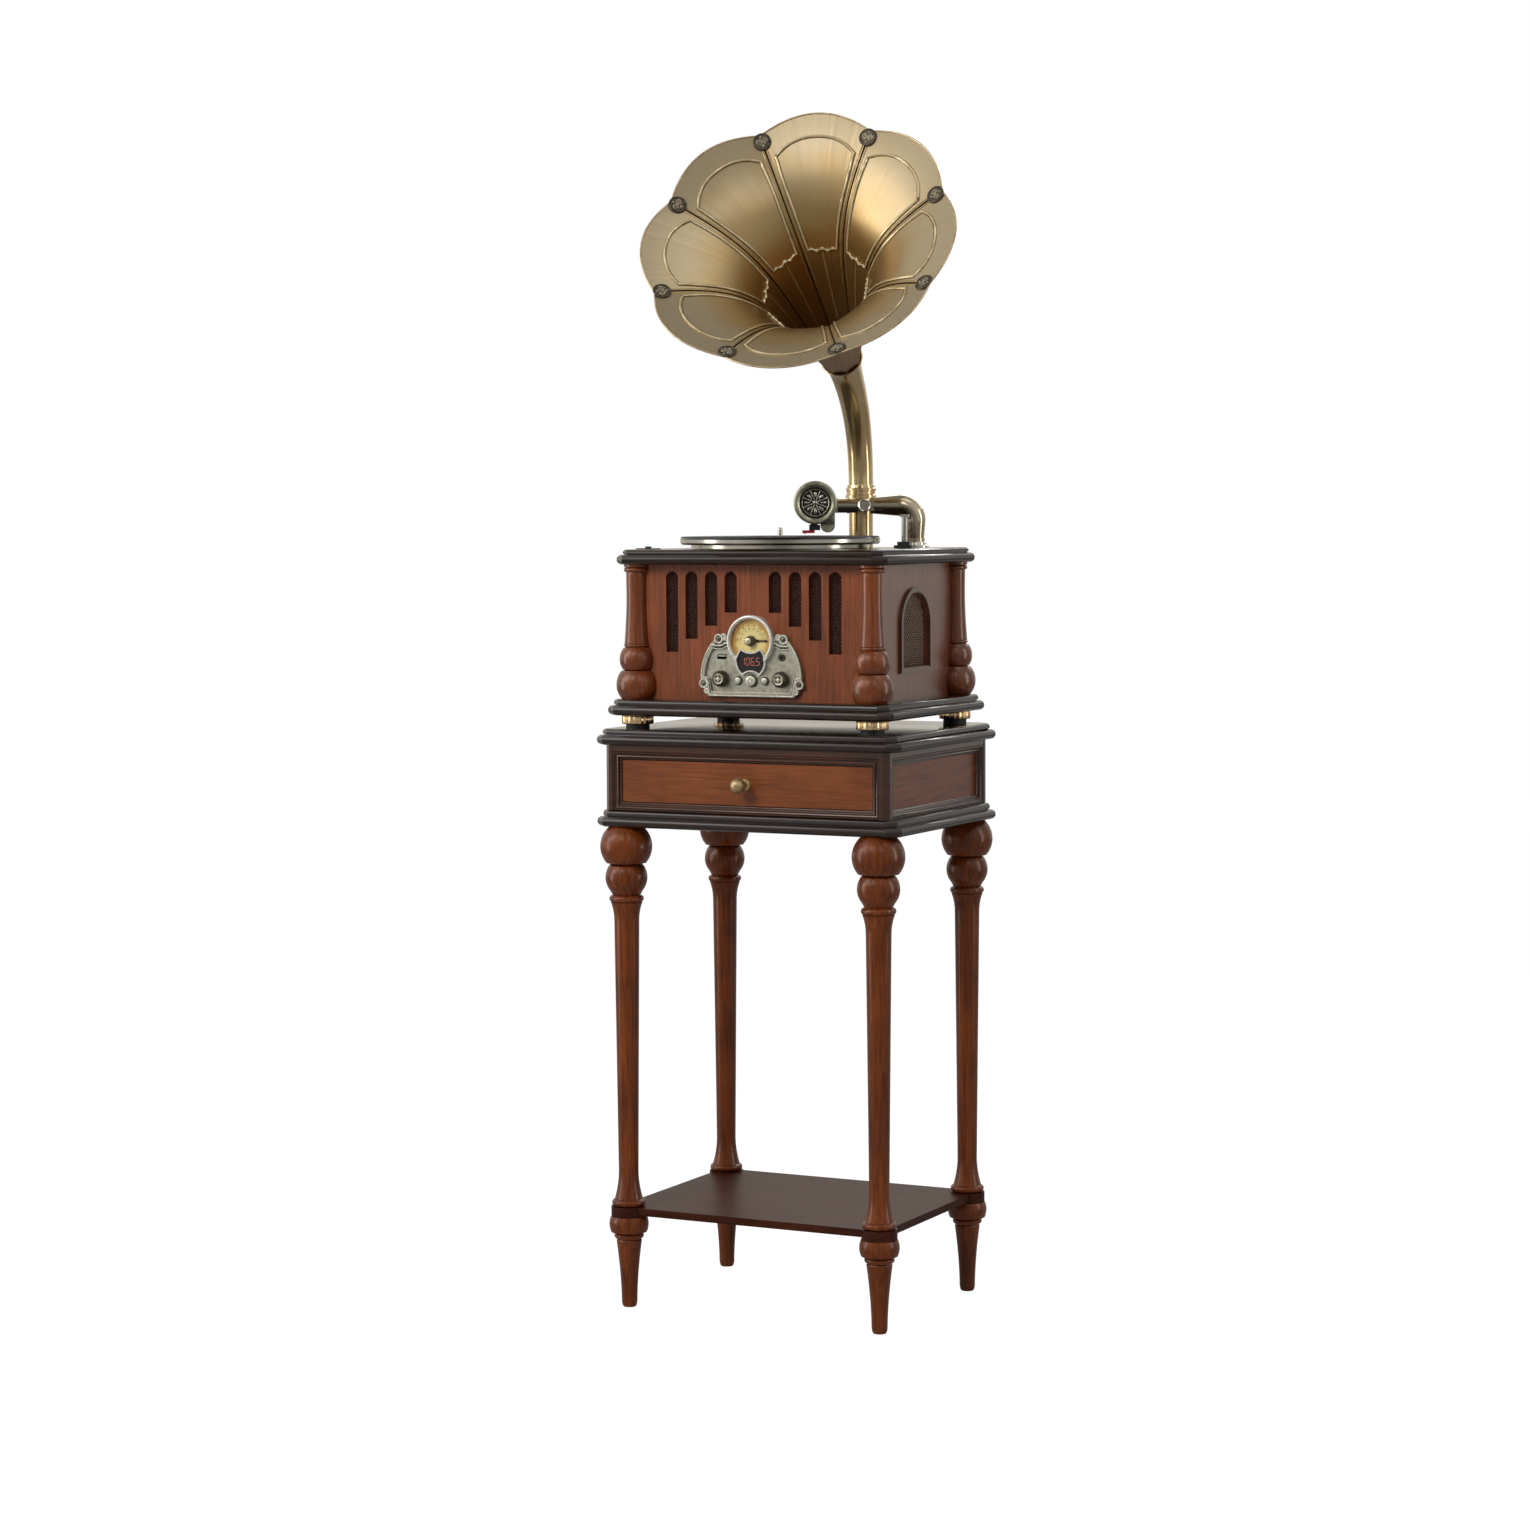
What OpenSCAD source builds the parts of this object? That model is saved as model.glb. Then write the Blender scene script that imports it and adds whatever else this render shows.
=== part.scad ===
// Floor standing record player: a turned leg stand with a drawer and a shelf,
// a wooden case with radio controls, a turntable with a sound box arm, and a flower horn.
// Origin on the floor midway between the legs, front towards -Y, +Z up, millimetres.

/* [Stand] */
// Distance between the leg axes along the front
leg_span_x = 400; // [380:2:420]
// Distance between the leg axes from front to back
leg_span_y = 308; // [290:2:320]
// Height of the legs from the floor to the lower board
leg_h = 700; // [620:5:760]
// Radius of the large ball at the top of each leg
leg_ball_r = 37.5; // [32:0.5:40]
// Radius of the second ball of each leg
leg_second_r = 30.3; // [26:0.1:33]
// Radius of the low ball under the shelf
leg_low_r = 28.5; // [26:0.5:32]
// Radius of the leg shaft at its upper end
shaft_top_r = 18; // [16:0.5:20]
// Radius of the leg shaft at its lower end
shaft_low_r = 14.3; // [13:0.1:16]
// Radius of the toe of each leg
toe_r = 9; // [7:0.5:11]
// Width of the stand boards
stand_w = 482; // [476:2:500]
// Depth of the stand boards
stand_d = 366; // [362:2:390]
// Thickness of the lower board of the stand
stand_bottom_t = 24; // [22:0.5:30]
// Thickness of the upper board of the stand
stand_top_t = 23; // [22:0.5:30]

/* [Shelf] */
// Height of the top of the shelf over the floor
shelf_z = 147.5; // [140:0.5:200]
// Thickness of the shelf board
shelf_t = 11; // [8:0.5:14]
// Thickness of the round lobes where the legs pass
lobe_t = 15; // [14:0.5:20]
// Radius of the round lobes
lobe_r = 25.5; // [22:0.5:28]
// Height of the lobes over the top of the shelf board
lobe_up = 0.5; // [0.3:0.1:2]
// Width of the shelf board past the leg axes
shelf_edge = 12; // [4:1:20]

/* [Drawer bay] */
// Height of the bay between the stand boards
bay_h = 93.5; // [85:0.5:120]
// Outer width of the bay
bay_w = 448; // [440:2:450]
// Outer depth of the bay
bay_d = 350; // [340:2:352]
// Side of the square corner posts
post_w = 14; // [12:1:20]
// Chamfer on the outer edge of the corner posts
post_cut = 8; // [4:0.5:10]
// Height of the rail under the upper board
rail_h = 8.5; // [6:0.5:12]
// Width of the mitred moulding
mould_w = 12; // [10:0.5:16]
// Relief of the mitred moulding
mould_t = 9; // [7:0.5:11]
// Thickness of the bay panels
bay_panel_t = 8; // [5:0.5:12]
// Thickness of the drawer front
drawer_t = 14; // [11:0.5:18]
// Gap around the drawer front
drawer_gap = 0.6; // [0.4:0.1:1.5]
// Thickness of the drawer sides and back
drawer_wall = 9; // [6:0.5:12]
// Thickness of the drawer bottom
drawer_floor = 5; // [3:0.5:8]
// Depth of the drawer box behind its front
drawer_l = 303; // [250:1:306]
// Height of the drawer sides
drawer_side_h = 52; // [40:1:54]
// Radius of the ball of the drawer knob
knob_ball_r = 11; // [8:0.5:13]

/* [Case] */
// Width of the player case over its panels
case_w = 372; // [364:2:380]
// Depth of the player case over its panels
case_d = 284; // [280:2:290]
// Height of the case between its boards
case_h = 192.5; // [188:0.5:220]
// Thickness of the front and rear panels
front_t = 9; // [7:0.5:12]
// Thickness of the side panels
side_t = 16; // [12:0.5:20]
// Overhang of the base board at the sides of the case
base_over_x = 40; // [34:1:44]
// Overhang of the base board at the front of the case
base_over_y = 34; // [33:1:40]
// Thickness of the base board
base_t = 23; // [22:0.5:30]
// Overhang of the deck at the sides of the case
deck_over_x = 28; // [24:1:34]
// Overhang of the deck at the front of the case
deck_over_y = 27; // [24:1:34]
// Thickness of the deck
deck_t = 21.5; // [21:0.5:28]
// Radius of the large ball of each column
column_ball_r = 30.5; // [26:0.5:32]
// Radius of the upper ball of each column
column_second_r = 25.6; // [22:0.1:28]
// Radius of the waist of each column
column_waist_r = 15; // [12:0.5:17]
// Height of the rubber pads under the player
pad_h = 6.5; // [4:0.5:10]
// Radius of the rubber pads
pad_r = 17; // [12:0.5:20]
// Height of the brass rings over the pads
ring_h = 13; // [10:0.5:18]
// Radius of the brass rings
ring_r = 23; // [18:0.5:26]

/* [Grilles] */
// Width of the slots in the front panel
slot_w = 19.5; // [16:0.5:22]
// Distance between neighbouring slots
slot_pitch = 31.3; // [28:0.1:32]
// Distance of the first slot from the middle
slot_first = 35; // [33:0.5:38]
// Distance of the slot tops under the deck
slot_drop = 9.5; // [9:0.5:20]
// Length of the first slot
slot_l = 58; // [50:0.5:64]
// Fall of each next slot bottom
slot_fall = 19; // [12:0.5:20]
// Number of slots on each side of the middle
slot_count = 4; // [3:1:4]
// Half width of the arched side windows
window_r = 45; // [40:0.5:48]
// Width of the frame around a side window
window_rim = 8.5; // [6:0.5:10]
// Height of the foot of a side window over the base board
window_foot = 46; // [40:0.5:56]
// Height of the centre of a window arch over the base board
window_arch = 106.5; // [95:0.5:112]
// Thickness of the grille sheets
grille_t = 1; // [0.8:0.1:1.5]
// Radius of the speaker flanges
speaker_r = 48; // [44:0.5:48]
// Distance of the speakers from the middle
speaker_x = 84; // [82:0.5:90]

/* [Controls] */
// Radius of the dome of the control plate
plate_r = 80; // [76:0.5:82]
// Thickness of the rim of the control plate
plate_t = 7.5; // [6:0.5:9]
// Thickness of the floor of the control plate
plate_floor = 3.5; // [2.5:0.5:5]
// Width of the rim of the control plate
plate_rim = 5.5; // [4:0.5:7]
// Height of the dial centre over the base board
dial_up = 85.5; // [84:0.5:90]
// Outer radius of the dial bezel
bezel_r = 36.4; // [34:0.1:38]
// Width of the dial bezel
bezel_w = 5; // [4:0.5:6]
// Depth of the dial bezel
bezel_t = 10.5; // [9:0.5:12]
// Thickness of the dial face
dial_t = 4.5; // [3:0.5:6]
// Radius of the display window
display_r = 21.5; // [20:0.5:23]
// Height of the display centre over the base board
display_up = 56.5; // [54:0.5:58]
// Radius of the tuning knob
tuner_r = 7.5; // [6:0.5:9]
// Length of the dial pointer
pointer_l = 26; // [20:0.5:28]
// Radius of the two side knobs
knob_r = 11.5; // [9:0.5:12]
// Length of the two side knobs
knob_l = 12.5; // [9:0.5:15]
// Distance of the side knobs from the middle
knob_x = 47.4; // [46:0.2:50]
// Height of the side knobs over the base board
knob_up = 31.6; // [30:0.2:34]
// Radius of the knob shafts
shaft_r = 3; // [2.5:0.1:3.5]
// Radius of the middle button
button_big_r = 7.5; // [6:0.5:8]
// Radius of the two small buttons
button_small_r = 4.8; // [4:0.1:6]
// Distance between the buttons
button_pitch = 21; // [18:0.5:22]
// Travel of the buttons
button_travel = 1.5; // [1:0.1:2]
// Radius of the hole of the sound jack
jack_bore_r = 1.8; // [1.7:0.05:2]

/* [Turntable] */
// Place of the spindle to the right of the middle
platter_x = -15; // [-18:1:-12]
// Place of the spindle behind the middle
platter_y = -24; // [-26:1:-20]
// Radius of the platter
platter_r = 144; // [138:0.5:145]
// Thickness of the platter rim
platter_t = 10; // [8:0.5:14]
// Radius of the ring under the platter
under_r = 128.5; // [100:0.5:130]
// Height of the ring under the platter
under_h = 5; // [3:0.5:8]
// Thickness of the rubber mat
mat_t = 1.5; // [1:0.1:3]
// Radius of the spindle pin that centres a record
spindle_r = 3.575; // [3.5:0.025:3.6]
// Radius of the shaft under the spindle pin
axle_r = 4; // [3.7:0.1:5]
// Height of the spindle over the mat
spindle_up = 13; // [8:0.5:16]
// Radius of the motor under the deck
motor_r = 32; // [25:0.5:36]
// Height of the motor
motor_h = 26; // [20:0.5:32]

/* [Arm] */
// Place of the arm pillar to the right of the middle
arm_x = 135; // [132:1:140]
// Distance of the arm pillar from the rear of the case
arm_rear = 27; // [24:1:30]
// Direction of the arm at rest, counted from +X
arm_turn = 206.7; // [204:0.1:214]
// Height of the arm tube axis over the deck
arm_up = 61; // [58:0.5:66]
// Radius of the pillar at its foot
pillar_r = 12.7; // [11:0.1:14]
// Radius of the arm tube in its elbow
arm_bend_r = 15.5; // [14:0.1:16]
// Radius of the arm tube at its thin end
arm_tip_r = 11.5; // [10:0.1:12.5]
// Bend radius of the arm elbow
bend_r = 22; // [19:0.5:26]
// Distance of the lifting pin from the pillar
lift_l = 74; // [70:0.5:80]
// Radius of the lifting tube
lift_tube_r = 10.4; // [9:0.1:10.8]
// Distance of the sound box from the pillar
box_l = 145; // [140:0.5:150]
// Radius of the sound box
box_r = 31.5; // [28:0.5:33]
// Thickness of the sound box
box_t = 11; // [9:0.5:14]
// Distance of the stylus from the pillar
stylus_l = 160; // [155:0.5:164]

/* [Horn] */
// Place of the horn pipe to the right of the middle
pipe_x = 37; // [34:1:40]
// Distance of the horn pipe from the rear of the case
pipe_rear = 3; // [2:1:4]
// Radius of the horn pipe
pipe_r = 17.6; // [16:0.1:18.5]
// Height of the horn pipe over the deck up to its collar
pipe_h = 71; // [64:0.5:90]
// Radius of the collar of the horn pipe
collar_r = 22.8; // [20:0.1:23]
// Height of the collar of the horn pipe
collar_h = 20; // [16:0.5:24]
// Radius of the elbow at its lower end
elbow_low_r = 17.9; // [16:0.1:19]
// Wall of the elbow
elbow_wall = 1.6; // [1.2:0.1:2.5]
// Radius of the elbow behind its lip
elbow_top_r = 24.5; // [22:0.1:26]
// Radius of the lip at the upper end of the elbow
lip_r = 30.5; // [30:0.1:33]
// Rise of the elbow from the collar to the throat
elbow_rise = 177; // [160:0.5:190]
// Reach of the elbow from the pipe to the throat
elbow_reach = 111.2; // [100:0.1:125]
// Direction in which the horn points, counted from +X
horn_turn = -78.16; // [-90:0.01:-70]
// Tilt of the horn axis over the horizontal
horn_tilt = 35; // [30:0.1:45]
// Length of the horn from its throat to the notches of its rim
horn_l = 270.4; // [250:0.2:290]
// Sideways offset of the horn mouth against its throat
horn_lean = 8.9; // [0:0.1:12]
// Radius of the throat end of the horn
throat_r = 25; // [23:0.5:26]
// Radius of the horn mouth at the notches between the petals
mouth_r = 212.5; // [190:0.5:220]
// Swell of the petals past the notches
petal_swell = 0.061; // [0.04:0.001:0.1]
// Reach of the petals forward past the notches
petal_forward = 9.4; // [4:0.2:14]
// Turn of the first rosette about the horn axis
rosette_turn = 68.4; // [60:0.1:80]
// Thickness of the horn sheet
sheet_t = 1.4; // [1:0.1:2]
// Radius of the rosettes
rosette_r = 13; // [8:0.5:14]

/* [Hidden] */
// Radial clearance of shafts and pins in their bores
fit = 0.05;
// Clearance of sliding and soft pieces
slack = 0.3;
petals = 8;
ring_fn = 96;
small_fn = 48;

// Board edge moulding: a round nose below, a groove and a quarter round step above
nose_h = 14;
groove_h = 1.5;
groove_in = 10;
step_in = 8;
step_r = 5.5;
board_cut = 18;
arc_step = 15;

// Heights of the stack from the floor up
z_bay = leg_h + stand_bottom_t;
z_stand_top = z_bay + bay_h;
z_pad = z_stand_top + stand_top_t;
z_ring = z_pad + pad_h;
z_base = z_ring + ring_h;
z_case = z_base + base_t;
z_deck_low = z_case + case_h;
z_deck = z_deck_low + deck_t;

// Shared planes and half sizes
case_hw = case_w / 2;
case_hd = case_d / 2;
arm_y = case_hd - arm_rear;
pipe_y = case_hd - pipe_rear;
bay_hw = bay_w / 2;
bay_hd = bay_d / 2;
frame_h = bay_h - rail_h;
land = 0.5;
face_y = -case_hd;
plate_floor_y = face_y - plate_floor;
plate_top_y = face_y - plate_t;
grille_y = face_y + front_t;
slot_top = case_h - slot_drop;
open_w = bay_w - 2 * post_w - 2 * mould_w;
open_h = frame_h - 2 * mould_w;
mould_back_y = -bay_hd + land + mould_t;
drawer_face_y = mould_back_y - 1.5;
drawer_back_y = drawer_face_y + drawer_t;
drawer_w = open_w - 2 * drawer_gap;
drawer_h = open_h - 2 * drawer_gap;
rail_t = 13;
face_frame_t = 8;
panel_in_x = bay_hw - land - mould_t - bay_panel_t;
box_w = open_w - 22;
box_z = z_bay + mould_w + 2;
z_platter = z_deck + 1 + under_h;
z_mat = z_platter + platter_t;
z_arm = z_deck + arm_up;
z_dial = z_case + dial_up;
z_display = z_case + display_up;
z_collar = z_deck + pipe_h;
z_elbow = z_collar + collar_h + slack;

// Points of a ball outline on the Z axis between two heights
function ball(cz, r, z1, z2, n = 12) =
  let (a1 = asin((z1 - cz) / r), a2 = asin((z2 - cz) / r))
  [for (i = [0:n]) let (a = a1 + (a2 - a1) * i / n) [r * cos(a), cz + r * sin(a)]];

// Points of a round bead of radius b that stands on a core of radius core
function bead(cz, core, b, n = 8) =
  [for (i = [0:n]) let (a = -90 + 180 * i / n) [core + b * cos(a), cz + b * sin(a)]];

// Points of a curve between two radii; power bends it
function sweep_r(z1, r1, z2, r2, power, n = 10) =
  [for (i = [0:n]) let (t = i / n) [r1 + (r2 - r1) * pow(t, power), z1 + (z2 - z1) * t]];

function reversed(p) = [for (i = [len(p) - 1:-1:0]) p[i]];

// Moulded board edge: distance in from the outer edge and height
function edge_points(t) = concat(
  [for (a = [-90:arc_step:90]) [nose_h / 2 * (1 - cos(a)), nose_h / 2 * (1 + sin(a))]],
  [[groove_in, nose_h], [groove_in, nose_h + groove_h], [step_in, nose_h + groove_h]],
  [for (a = [0:arc_step:90]) [step_in + step_r * (1 - cos(a)), t - step_r * (1 - sin(a))]]);

function board_section(half, t) = concat(
  [for (p = edge_points(t)) [half - p[0], p[1]]],
  reversed([for (p = edge_points(t)) [p[0] - half, p[1]]]));

module board_slab(half, t, long) {
  rotate([90, 0, 0]) linear_extrude(long, center = true) polygon(board_section(half, t));
}

// Board with a moulded edge and clipped corners, standing on z = 0
module moulded_board(w, d, t) {
  long = w + d;
  diagonal = (w / 2 + d / 2 - board_cut) / sqrt(2);
  intersection() {
    board_slab(w / 2, t, long);
    rotate(90) board_slab(d / 2, t, long);
    rotate(45) board_slab(diagonal, t, long);
    rotate(-45) board_slab(diagonal, t, long);
  }
}

// Drawing in X and Z, extruded from the plane y towards the front
module to_front(y, t) {
  translate([0, y, 0]) rotate([90, 0, 0]) linear_extrude(t) children();
}

// Drawing in Y and Z, extruded from the plane x towards the right
module to_right(x, t) {
  translate([x, 0, 0]) rotate([90, 0, 90]) linear_extrude(t) children();
}

// Turned piece whose axis points to the front, from the plane y
module turned_front(x, y, z) {
  translate([x, y, z]) rotate([90, 0, 0]) rotate_extrude($fn = small_fn) children();
}

module at_legs(sx = [-1, 1], sy = [-1, 1]) {
  for (x = sx, y = sy) translate([x * leg_span_x / 2, y * leg_span_y / 2, 0]) children();
}

module in_quadrants() {
  for (x = [0, 1], y = [0, 1]) mirror([x, 0, 0]) mirror([0, y, 0]) children();
}

module at_case_corners() {
  for (x = [-1, 1], y = [-1, 1]) translate([x * case_hw, y * case_hd, 0]) children();
}

// Legs

tenon_r = 11;
z_lobe_top = shelf_z + lobe_up;
z_lobe = z_lobe_top - lobe_t;
foot_top_r = 18.5;
leg_low_z = z_lobe - 11.5;
foot_top_z = leg_low_z - 24;
low_collar_r = 5.2;
taper_z = z_lobe_top + 52;
flare_z = leg_h - 140;
collar_z = leg_h - 104.5;
upper_bead_r = 5;
second_z = leg_h - 74;
first_z = leg_h - 29;

function leg_outline() = concat(
  [[0, 0]],
  sweep_r(0, toe_r, 5, toe_r + 2, 0.5, 3),
  sweep_r(8, toe_r + 2.4, foot_top_z, foot_top_r, 1.7),
  bead(foot_top_z + 7, foot_top_r - 1.5, 4.5),
  ball(leg_low_z, leg_low_r, foot_top_z + 12.5, z_lobe),
  [[tenon_r, z_lobe], [tenon_r, z_lobe_top]],
  bead(z_lobe_top + low_collar_r, 19.3, low_collar_r),
  reversed(sweep_r(taper_z, shaft_low_r, z_lobe_top + 2 * low_collar_r, 20.5, 2)),
  sweep_r(flare_z, shaft_top_r, collar_z - upper_bead_r, 23, 2.4),
  bead(collar_z, 20, upper_bead_r),
  ball(second_z, leg_second_r, second_z - 19.5, second_z + 18.5),
  [[20.5, second_z + 19.5]],
  ball(first_z, leg_ball_r, first_z - 24, leg_h, 16),
  [[0, leg_h]]);

module leg(x, y) {
  color("saddlebrown") at_legs([x], [y]) rotate_extrude($fn = ring_fn) polygon(leg_outline());
}

module leg_front_left() leg(-1, -1);
module leg_front_right() leg(1, -1);
module leg_back_left() leg(-1, 1);
module leg_back_right() leg(1, 1);

module shelf() {
  color("#3a1c14") difference() {
    union() {
      translate([-leg_span_x / 2 - shelf_edge, -leg_span_y / 2 - shelf_edge, shelf_z - shelf_t])
        cube([leg_span_x + 2 * shelf_edge, leg_span_y + 2 * shelf_edge, shelf_t]);
      at_legs() translate([0, 0, z_lobe]) cylinder(r = lobe_r, h = lobe_t, $fn = ring_fn);
    }
    at_legs() translate([0, 0, z_lobe - 1])
      cylinder(r = tenon_r + fit, h = lobe_t + 2, $fn = small_fn);
  }
}

// Drawer bay

module stand_bottom_board() {
  color("#2b2322") translate([0, 0, leg_h]) moulded_board(stand_w, stand_d, stand_bottom_t);
}

module stand_top_board() {
  color("#2b2322") translate([0, 0, z_stand_top])
    moulded_board(stand_w, stand_d, stand_top_t);
}

// Corner posts, the rails over the mouldings and the frame that carries the front moulding
module bay_frame() {
  color("#5a2a1c") {
    in_quadrants() translate([bay_hw - post_w, bay_hd - post_w, z_bay])
      linear_extrude(bay_h) polygon([[0, 0], [post_w, 0], [post_w, post_w - post_cut],
        [post_w - post_cut, post_w], [0, post_w]]);
    for (y = [-1, 1]) translate([0, y * (bay_hd - land - rail_t / 2), z_bay + frame_h + rail_h / 2])
      cube([bay_w - 2 * post_w, rail_t, rail_h], center = true);
    for (x = [-1, 1]) translate([x * (bay_hw - land - rail_t / 2), 0, z_bay + frame_h + rail_h / 2])
      cube([rail_t, bay_d - 2 * post_w, rail_h], center = true);
    to_front(mould_back_y + face_frame_t, face_frame_t) difference() {
      translate([-bay_hw + post_w, z_bay]) square([bay_w - 2 * post_w, frame_h]);
      translate([-open_w / 2, z_bay + mould_w]) square([open_w, open_h]);
    }
  }
}
// Side and back panels of the bay
module bay_panels() {
  color("#6b3020") {
    for (x = [-panel_in_x - bay_panel_t, panel_in_x])
      translate([x, mould_back_y + face_frame_t, z_bay])
        cube([bay_panel_t, bay_hd - post_w - mould_back_y - face_frame_t, frame_h]);
    translate([-bay_hw + post_w, bay_hd - land - mould_t - bay_panel_t, z_bay])
      cube([bay_w - 2 * post_w, bay_panel_t, frame_h]);
  }
}

// Moulding section: distance in from the outer edge, and relief over the back
function mould_points() =
  let (cove_r = 3.2, bead_r = 1.5, lip = 3.4, round_r = 2.6)
  concat(
    [[0, 0], [0, mould_t - 1], [1, mould_t], [2.6, mould_t]],
    [for (a = [0:30:90]) [2.6 + cove_r * (1 - cos(a)), mould_t - cove_r * sin(a)]],
    [for (a = [180:-45:0]) [7.3 + bead_r * cos(a), mould_t - cove_r + bead_r * sin(a)]],
    [[8.8, lip + 1]],
    [for (a = [90:-30:0]) [mould_w - round_r + round_r * cos(a),
      lip - round_r + round_r * sin(a)]],
    [[mould_w, 0]]);

module mould_bar(long) {
  rotate([90, 0, 90]) linear_extrude(long, center = true) polygon(mould_points());
}

// Mitred frame of width w and height h, flat on its back, lower edge on y = 0
module moulded_frame(w, h) {
  for (end = [0, 1]) mirror([0, end, 0]) translate([0, end * -h, 0]) intersection() {
    mould_bar(w);
    linear_extrude(mould_t) polygon([[-w / 2, 0], [w / 2, 0], [w / 2 - mould_w, mould_w],
      [-w / 2 + mould_w, mould_w]]);
  }
  for (side = [-1, 1]) intersection() {
    translate([side * w / 2, h / 2, 0]) rotate(side * 90) mould_bar(h);
    linear_extrude(mould_t) polygon([[side * w / 2, 0], [side * w / 2, h],
      [side * (w / 2 - mould_w), h - mould_w], [side * (w / 2 - mould_w), mould_w]]);
  }
}

module bay_mouldings() {
  color("#4a231a") {
    translate([0, mould_back_y, z_bay]) rotate([90, 0, 0])
      moulded_frame(bay_w - 2 * post_w, frame_h);
    for (side = [-1, 1]) rotate(side * 90)
      translate([0, -(bay_hw - land - mould_t), z_bay]) rotate([90, 0, 0])
        moulded_frame(bay_d - 2 * post_w, frame_h);
  }
}

// Rails that carry the drawer and guide its sides
module drawer_runners() {
  run_y = drawer_back_y + 1;
  run_l = bay_hd - land - mould_t - bay_panel_t - run_y;
  lip_h = 14;
  ledge = 10;
  color("#8a5a3a") for (side = [-1, 1]) mirror([side < 0 ? 1 : 0, 0, 0]) {
    translate([box_w / 2 - ledge, run_y, z_bay])
      cube([panel_in_x - box_w / 2 + ledge, run_l, box_z - slack - z_bay]);
    translate([box_w / 2 + 2 * slack, run_y, box_z - slack])
      cube([panel_in_x - box_w / 2 - 2 * slack, run_l, lip_h]);
  }
}

module drawer_box() {
  color("#a9764a") difference() {
    translate([-box_w / 2, drawer_back_y, box_z]) cube([box_w, drawer_l, drawer_side_h]);
    translate([-box_w / 2 + drawer_wall, drawer_back_y + drawer_wall, box_z + drawer_floor])
      cube([box_w - 2 * drawer_wall, drawer_l - 2 * drawer_wall, drawer_side_h]);
  }
}

module drawer_front() {
  color("#7a3a26") translate([-drawer_w / 2, drawer_face_y, z_bay + mould_w + drawer_gap])
    cube([drawer_w, drawer_t, drawer_h]);
}

module drawer_knob() {
  stem_r = 4.5;
  rose_r = 8;
  rose_t = 3;
  stem_l = 15;
  color("#b59a6a") turned_front(0, drawer_face_y, z_bay + mould_w + open_h / 2) polygon(concat(
    [[0, 0], [rose_r, 0], [rose_r, rose_t - 1], [rose_r - 1.5, rose_t], [stem_r, rose_t + 1.5]],
    ball(stem_l + knob_ball_r - 2, knob_ball_r, stem_l - 0.5, stem_l + 2 * knob_ball_r - 2, 14)));
}

// Player case

module foot_pads() {
  color("#1c1a1a") at_case_corners() translate([0, 0, z_pad])
    cylinder(r = pad_r, h = pad_h, $fn = small_fn);
}

module foot_rings() {
  round_r = 1.5;
  color("#c79a4a") at_case_corners() translate([0, 0, z_ring]) rotate_extrude($fn = ring_fn)
    polygon(concat([[0, 0], [ring_r - round_r, 0]],
      [for (a = [-60:30:60]) [ring_r - round_r + round_r * cos(a), round_r + round_r * sin(a)]],
      [[ring_r - 0.6, 3.2], [ring_r - 0.6, ring_h - 3.2]],
      [for (a = [-60:30:60]) [ring_r - round_r + round_r * cos(a),
        ring_h - round_r + round_r * sin(a)]],
      [[ring_r - round_r, ring_h], [0, ring_h]]));
}

module base_board() {
  color("#2b2322") translate([0, 0, z_base])
    moulded_board(case_w + 2 * base_over_x, case_d + 2 * base_over_y, base_t);
}

function slot_low(i) = slot_top - slot_l - slot_fall * i;

module slot_shapes(grow = 0) {
  for (side = [-1, 1], i = [0:slot_count - 1])
    translate([side * (slot_first + slot_pitch * i), z_case]) {
      translate([-slot_w / 2 - grow, slot_low(i) - grow])
        square([slot_w + 2 * grow, slot_top - slot_w / 2 - slot_low(i) + grow]);
      translate([0, slot_top - slot_w / 2]) circle(r = slot_w / 2 + grow, $fn = small_fn);
    }
}

control_hw = 56;
control_low = 12;
control_top = 72;
control_r = 27;

// Hole behind the controls
module control_hole(grow = 0) {
  translate([-control_hw - grow, z_case + control_low - grow])
    square([2 * (control_hw + grow), control_top - control_low + 2 * grow]);
  translate([0, z_dial]) circle(r = control_r + grow, $fn = ring_fn);
}

module front_panel() {
  color("#8a4630") to_front(face_y + front_t, front_t) difference() {
    translate([-case_hw, z_case]) square([case_w, case_h]);
    slot_shapes();
    control_hole();
  }
}

module arch(r) {
  translate([-r, z_case + window_foot - (r - window_r)])
    square([2 * r, window_arch - window_foot + r - window_r]);
  translate([0, z_case + window_arch]) circle(r = r, $fn = ring_fn);
}

module side_panels() {
  color("#8a4630") for (side = [-1, 1])
    to_right(side > 0 ? case_hw - side_t : -case_hw, side_t) difference() {
      translate([-case_hd + front_t, z_case]) square([case_d - 2 * front_t, case_h]);
      arch(window_r);
    }
}

socket_x = -105;
socket_up = 42;
socket_w = 96;
socket_h = 44;
socket_body_in = 8;
socket_body_h = 28;
socket_body_l = 6;
socket_hole_gap = 2;
inlet_r = 4.2;
inlet_gap = 8;
inlet_x = socket_x - 24;
phono_x = socket_x + 8;
phono_pitch = 20;
phono_r = 4.2;
phono_l = 9;
socket_plate_t = 2;

module rear_panel() {
  color("#5f3325") difference() {
    translate([-case_hw, case_hd - front_t, z_case]) cube([case_w, front_t, case_h]);
    translate([socket_x - socket_w / 2 + socket_body_in - socket_hole_gap, case_hd - front_t - 1,
        z_case + socket_up - socket_body_h / 2 - socket_hole_gap])
      cube([socket_w - 2 * (socket_body_in - socket_hole_gap), front_t + 2,
        socket_body_h + 2 * socket_hole_gap]);
  }
}

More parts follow.
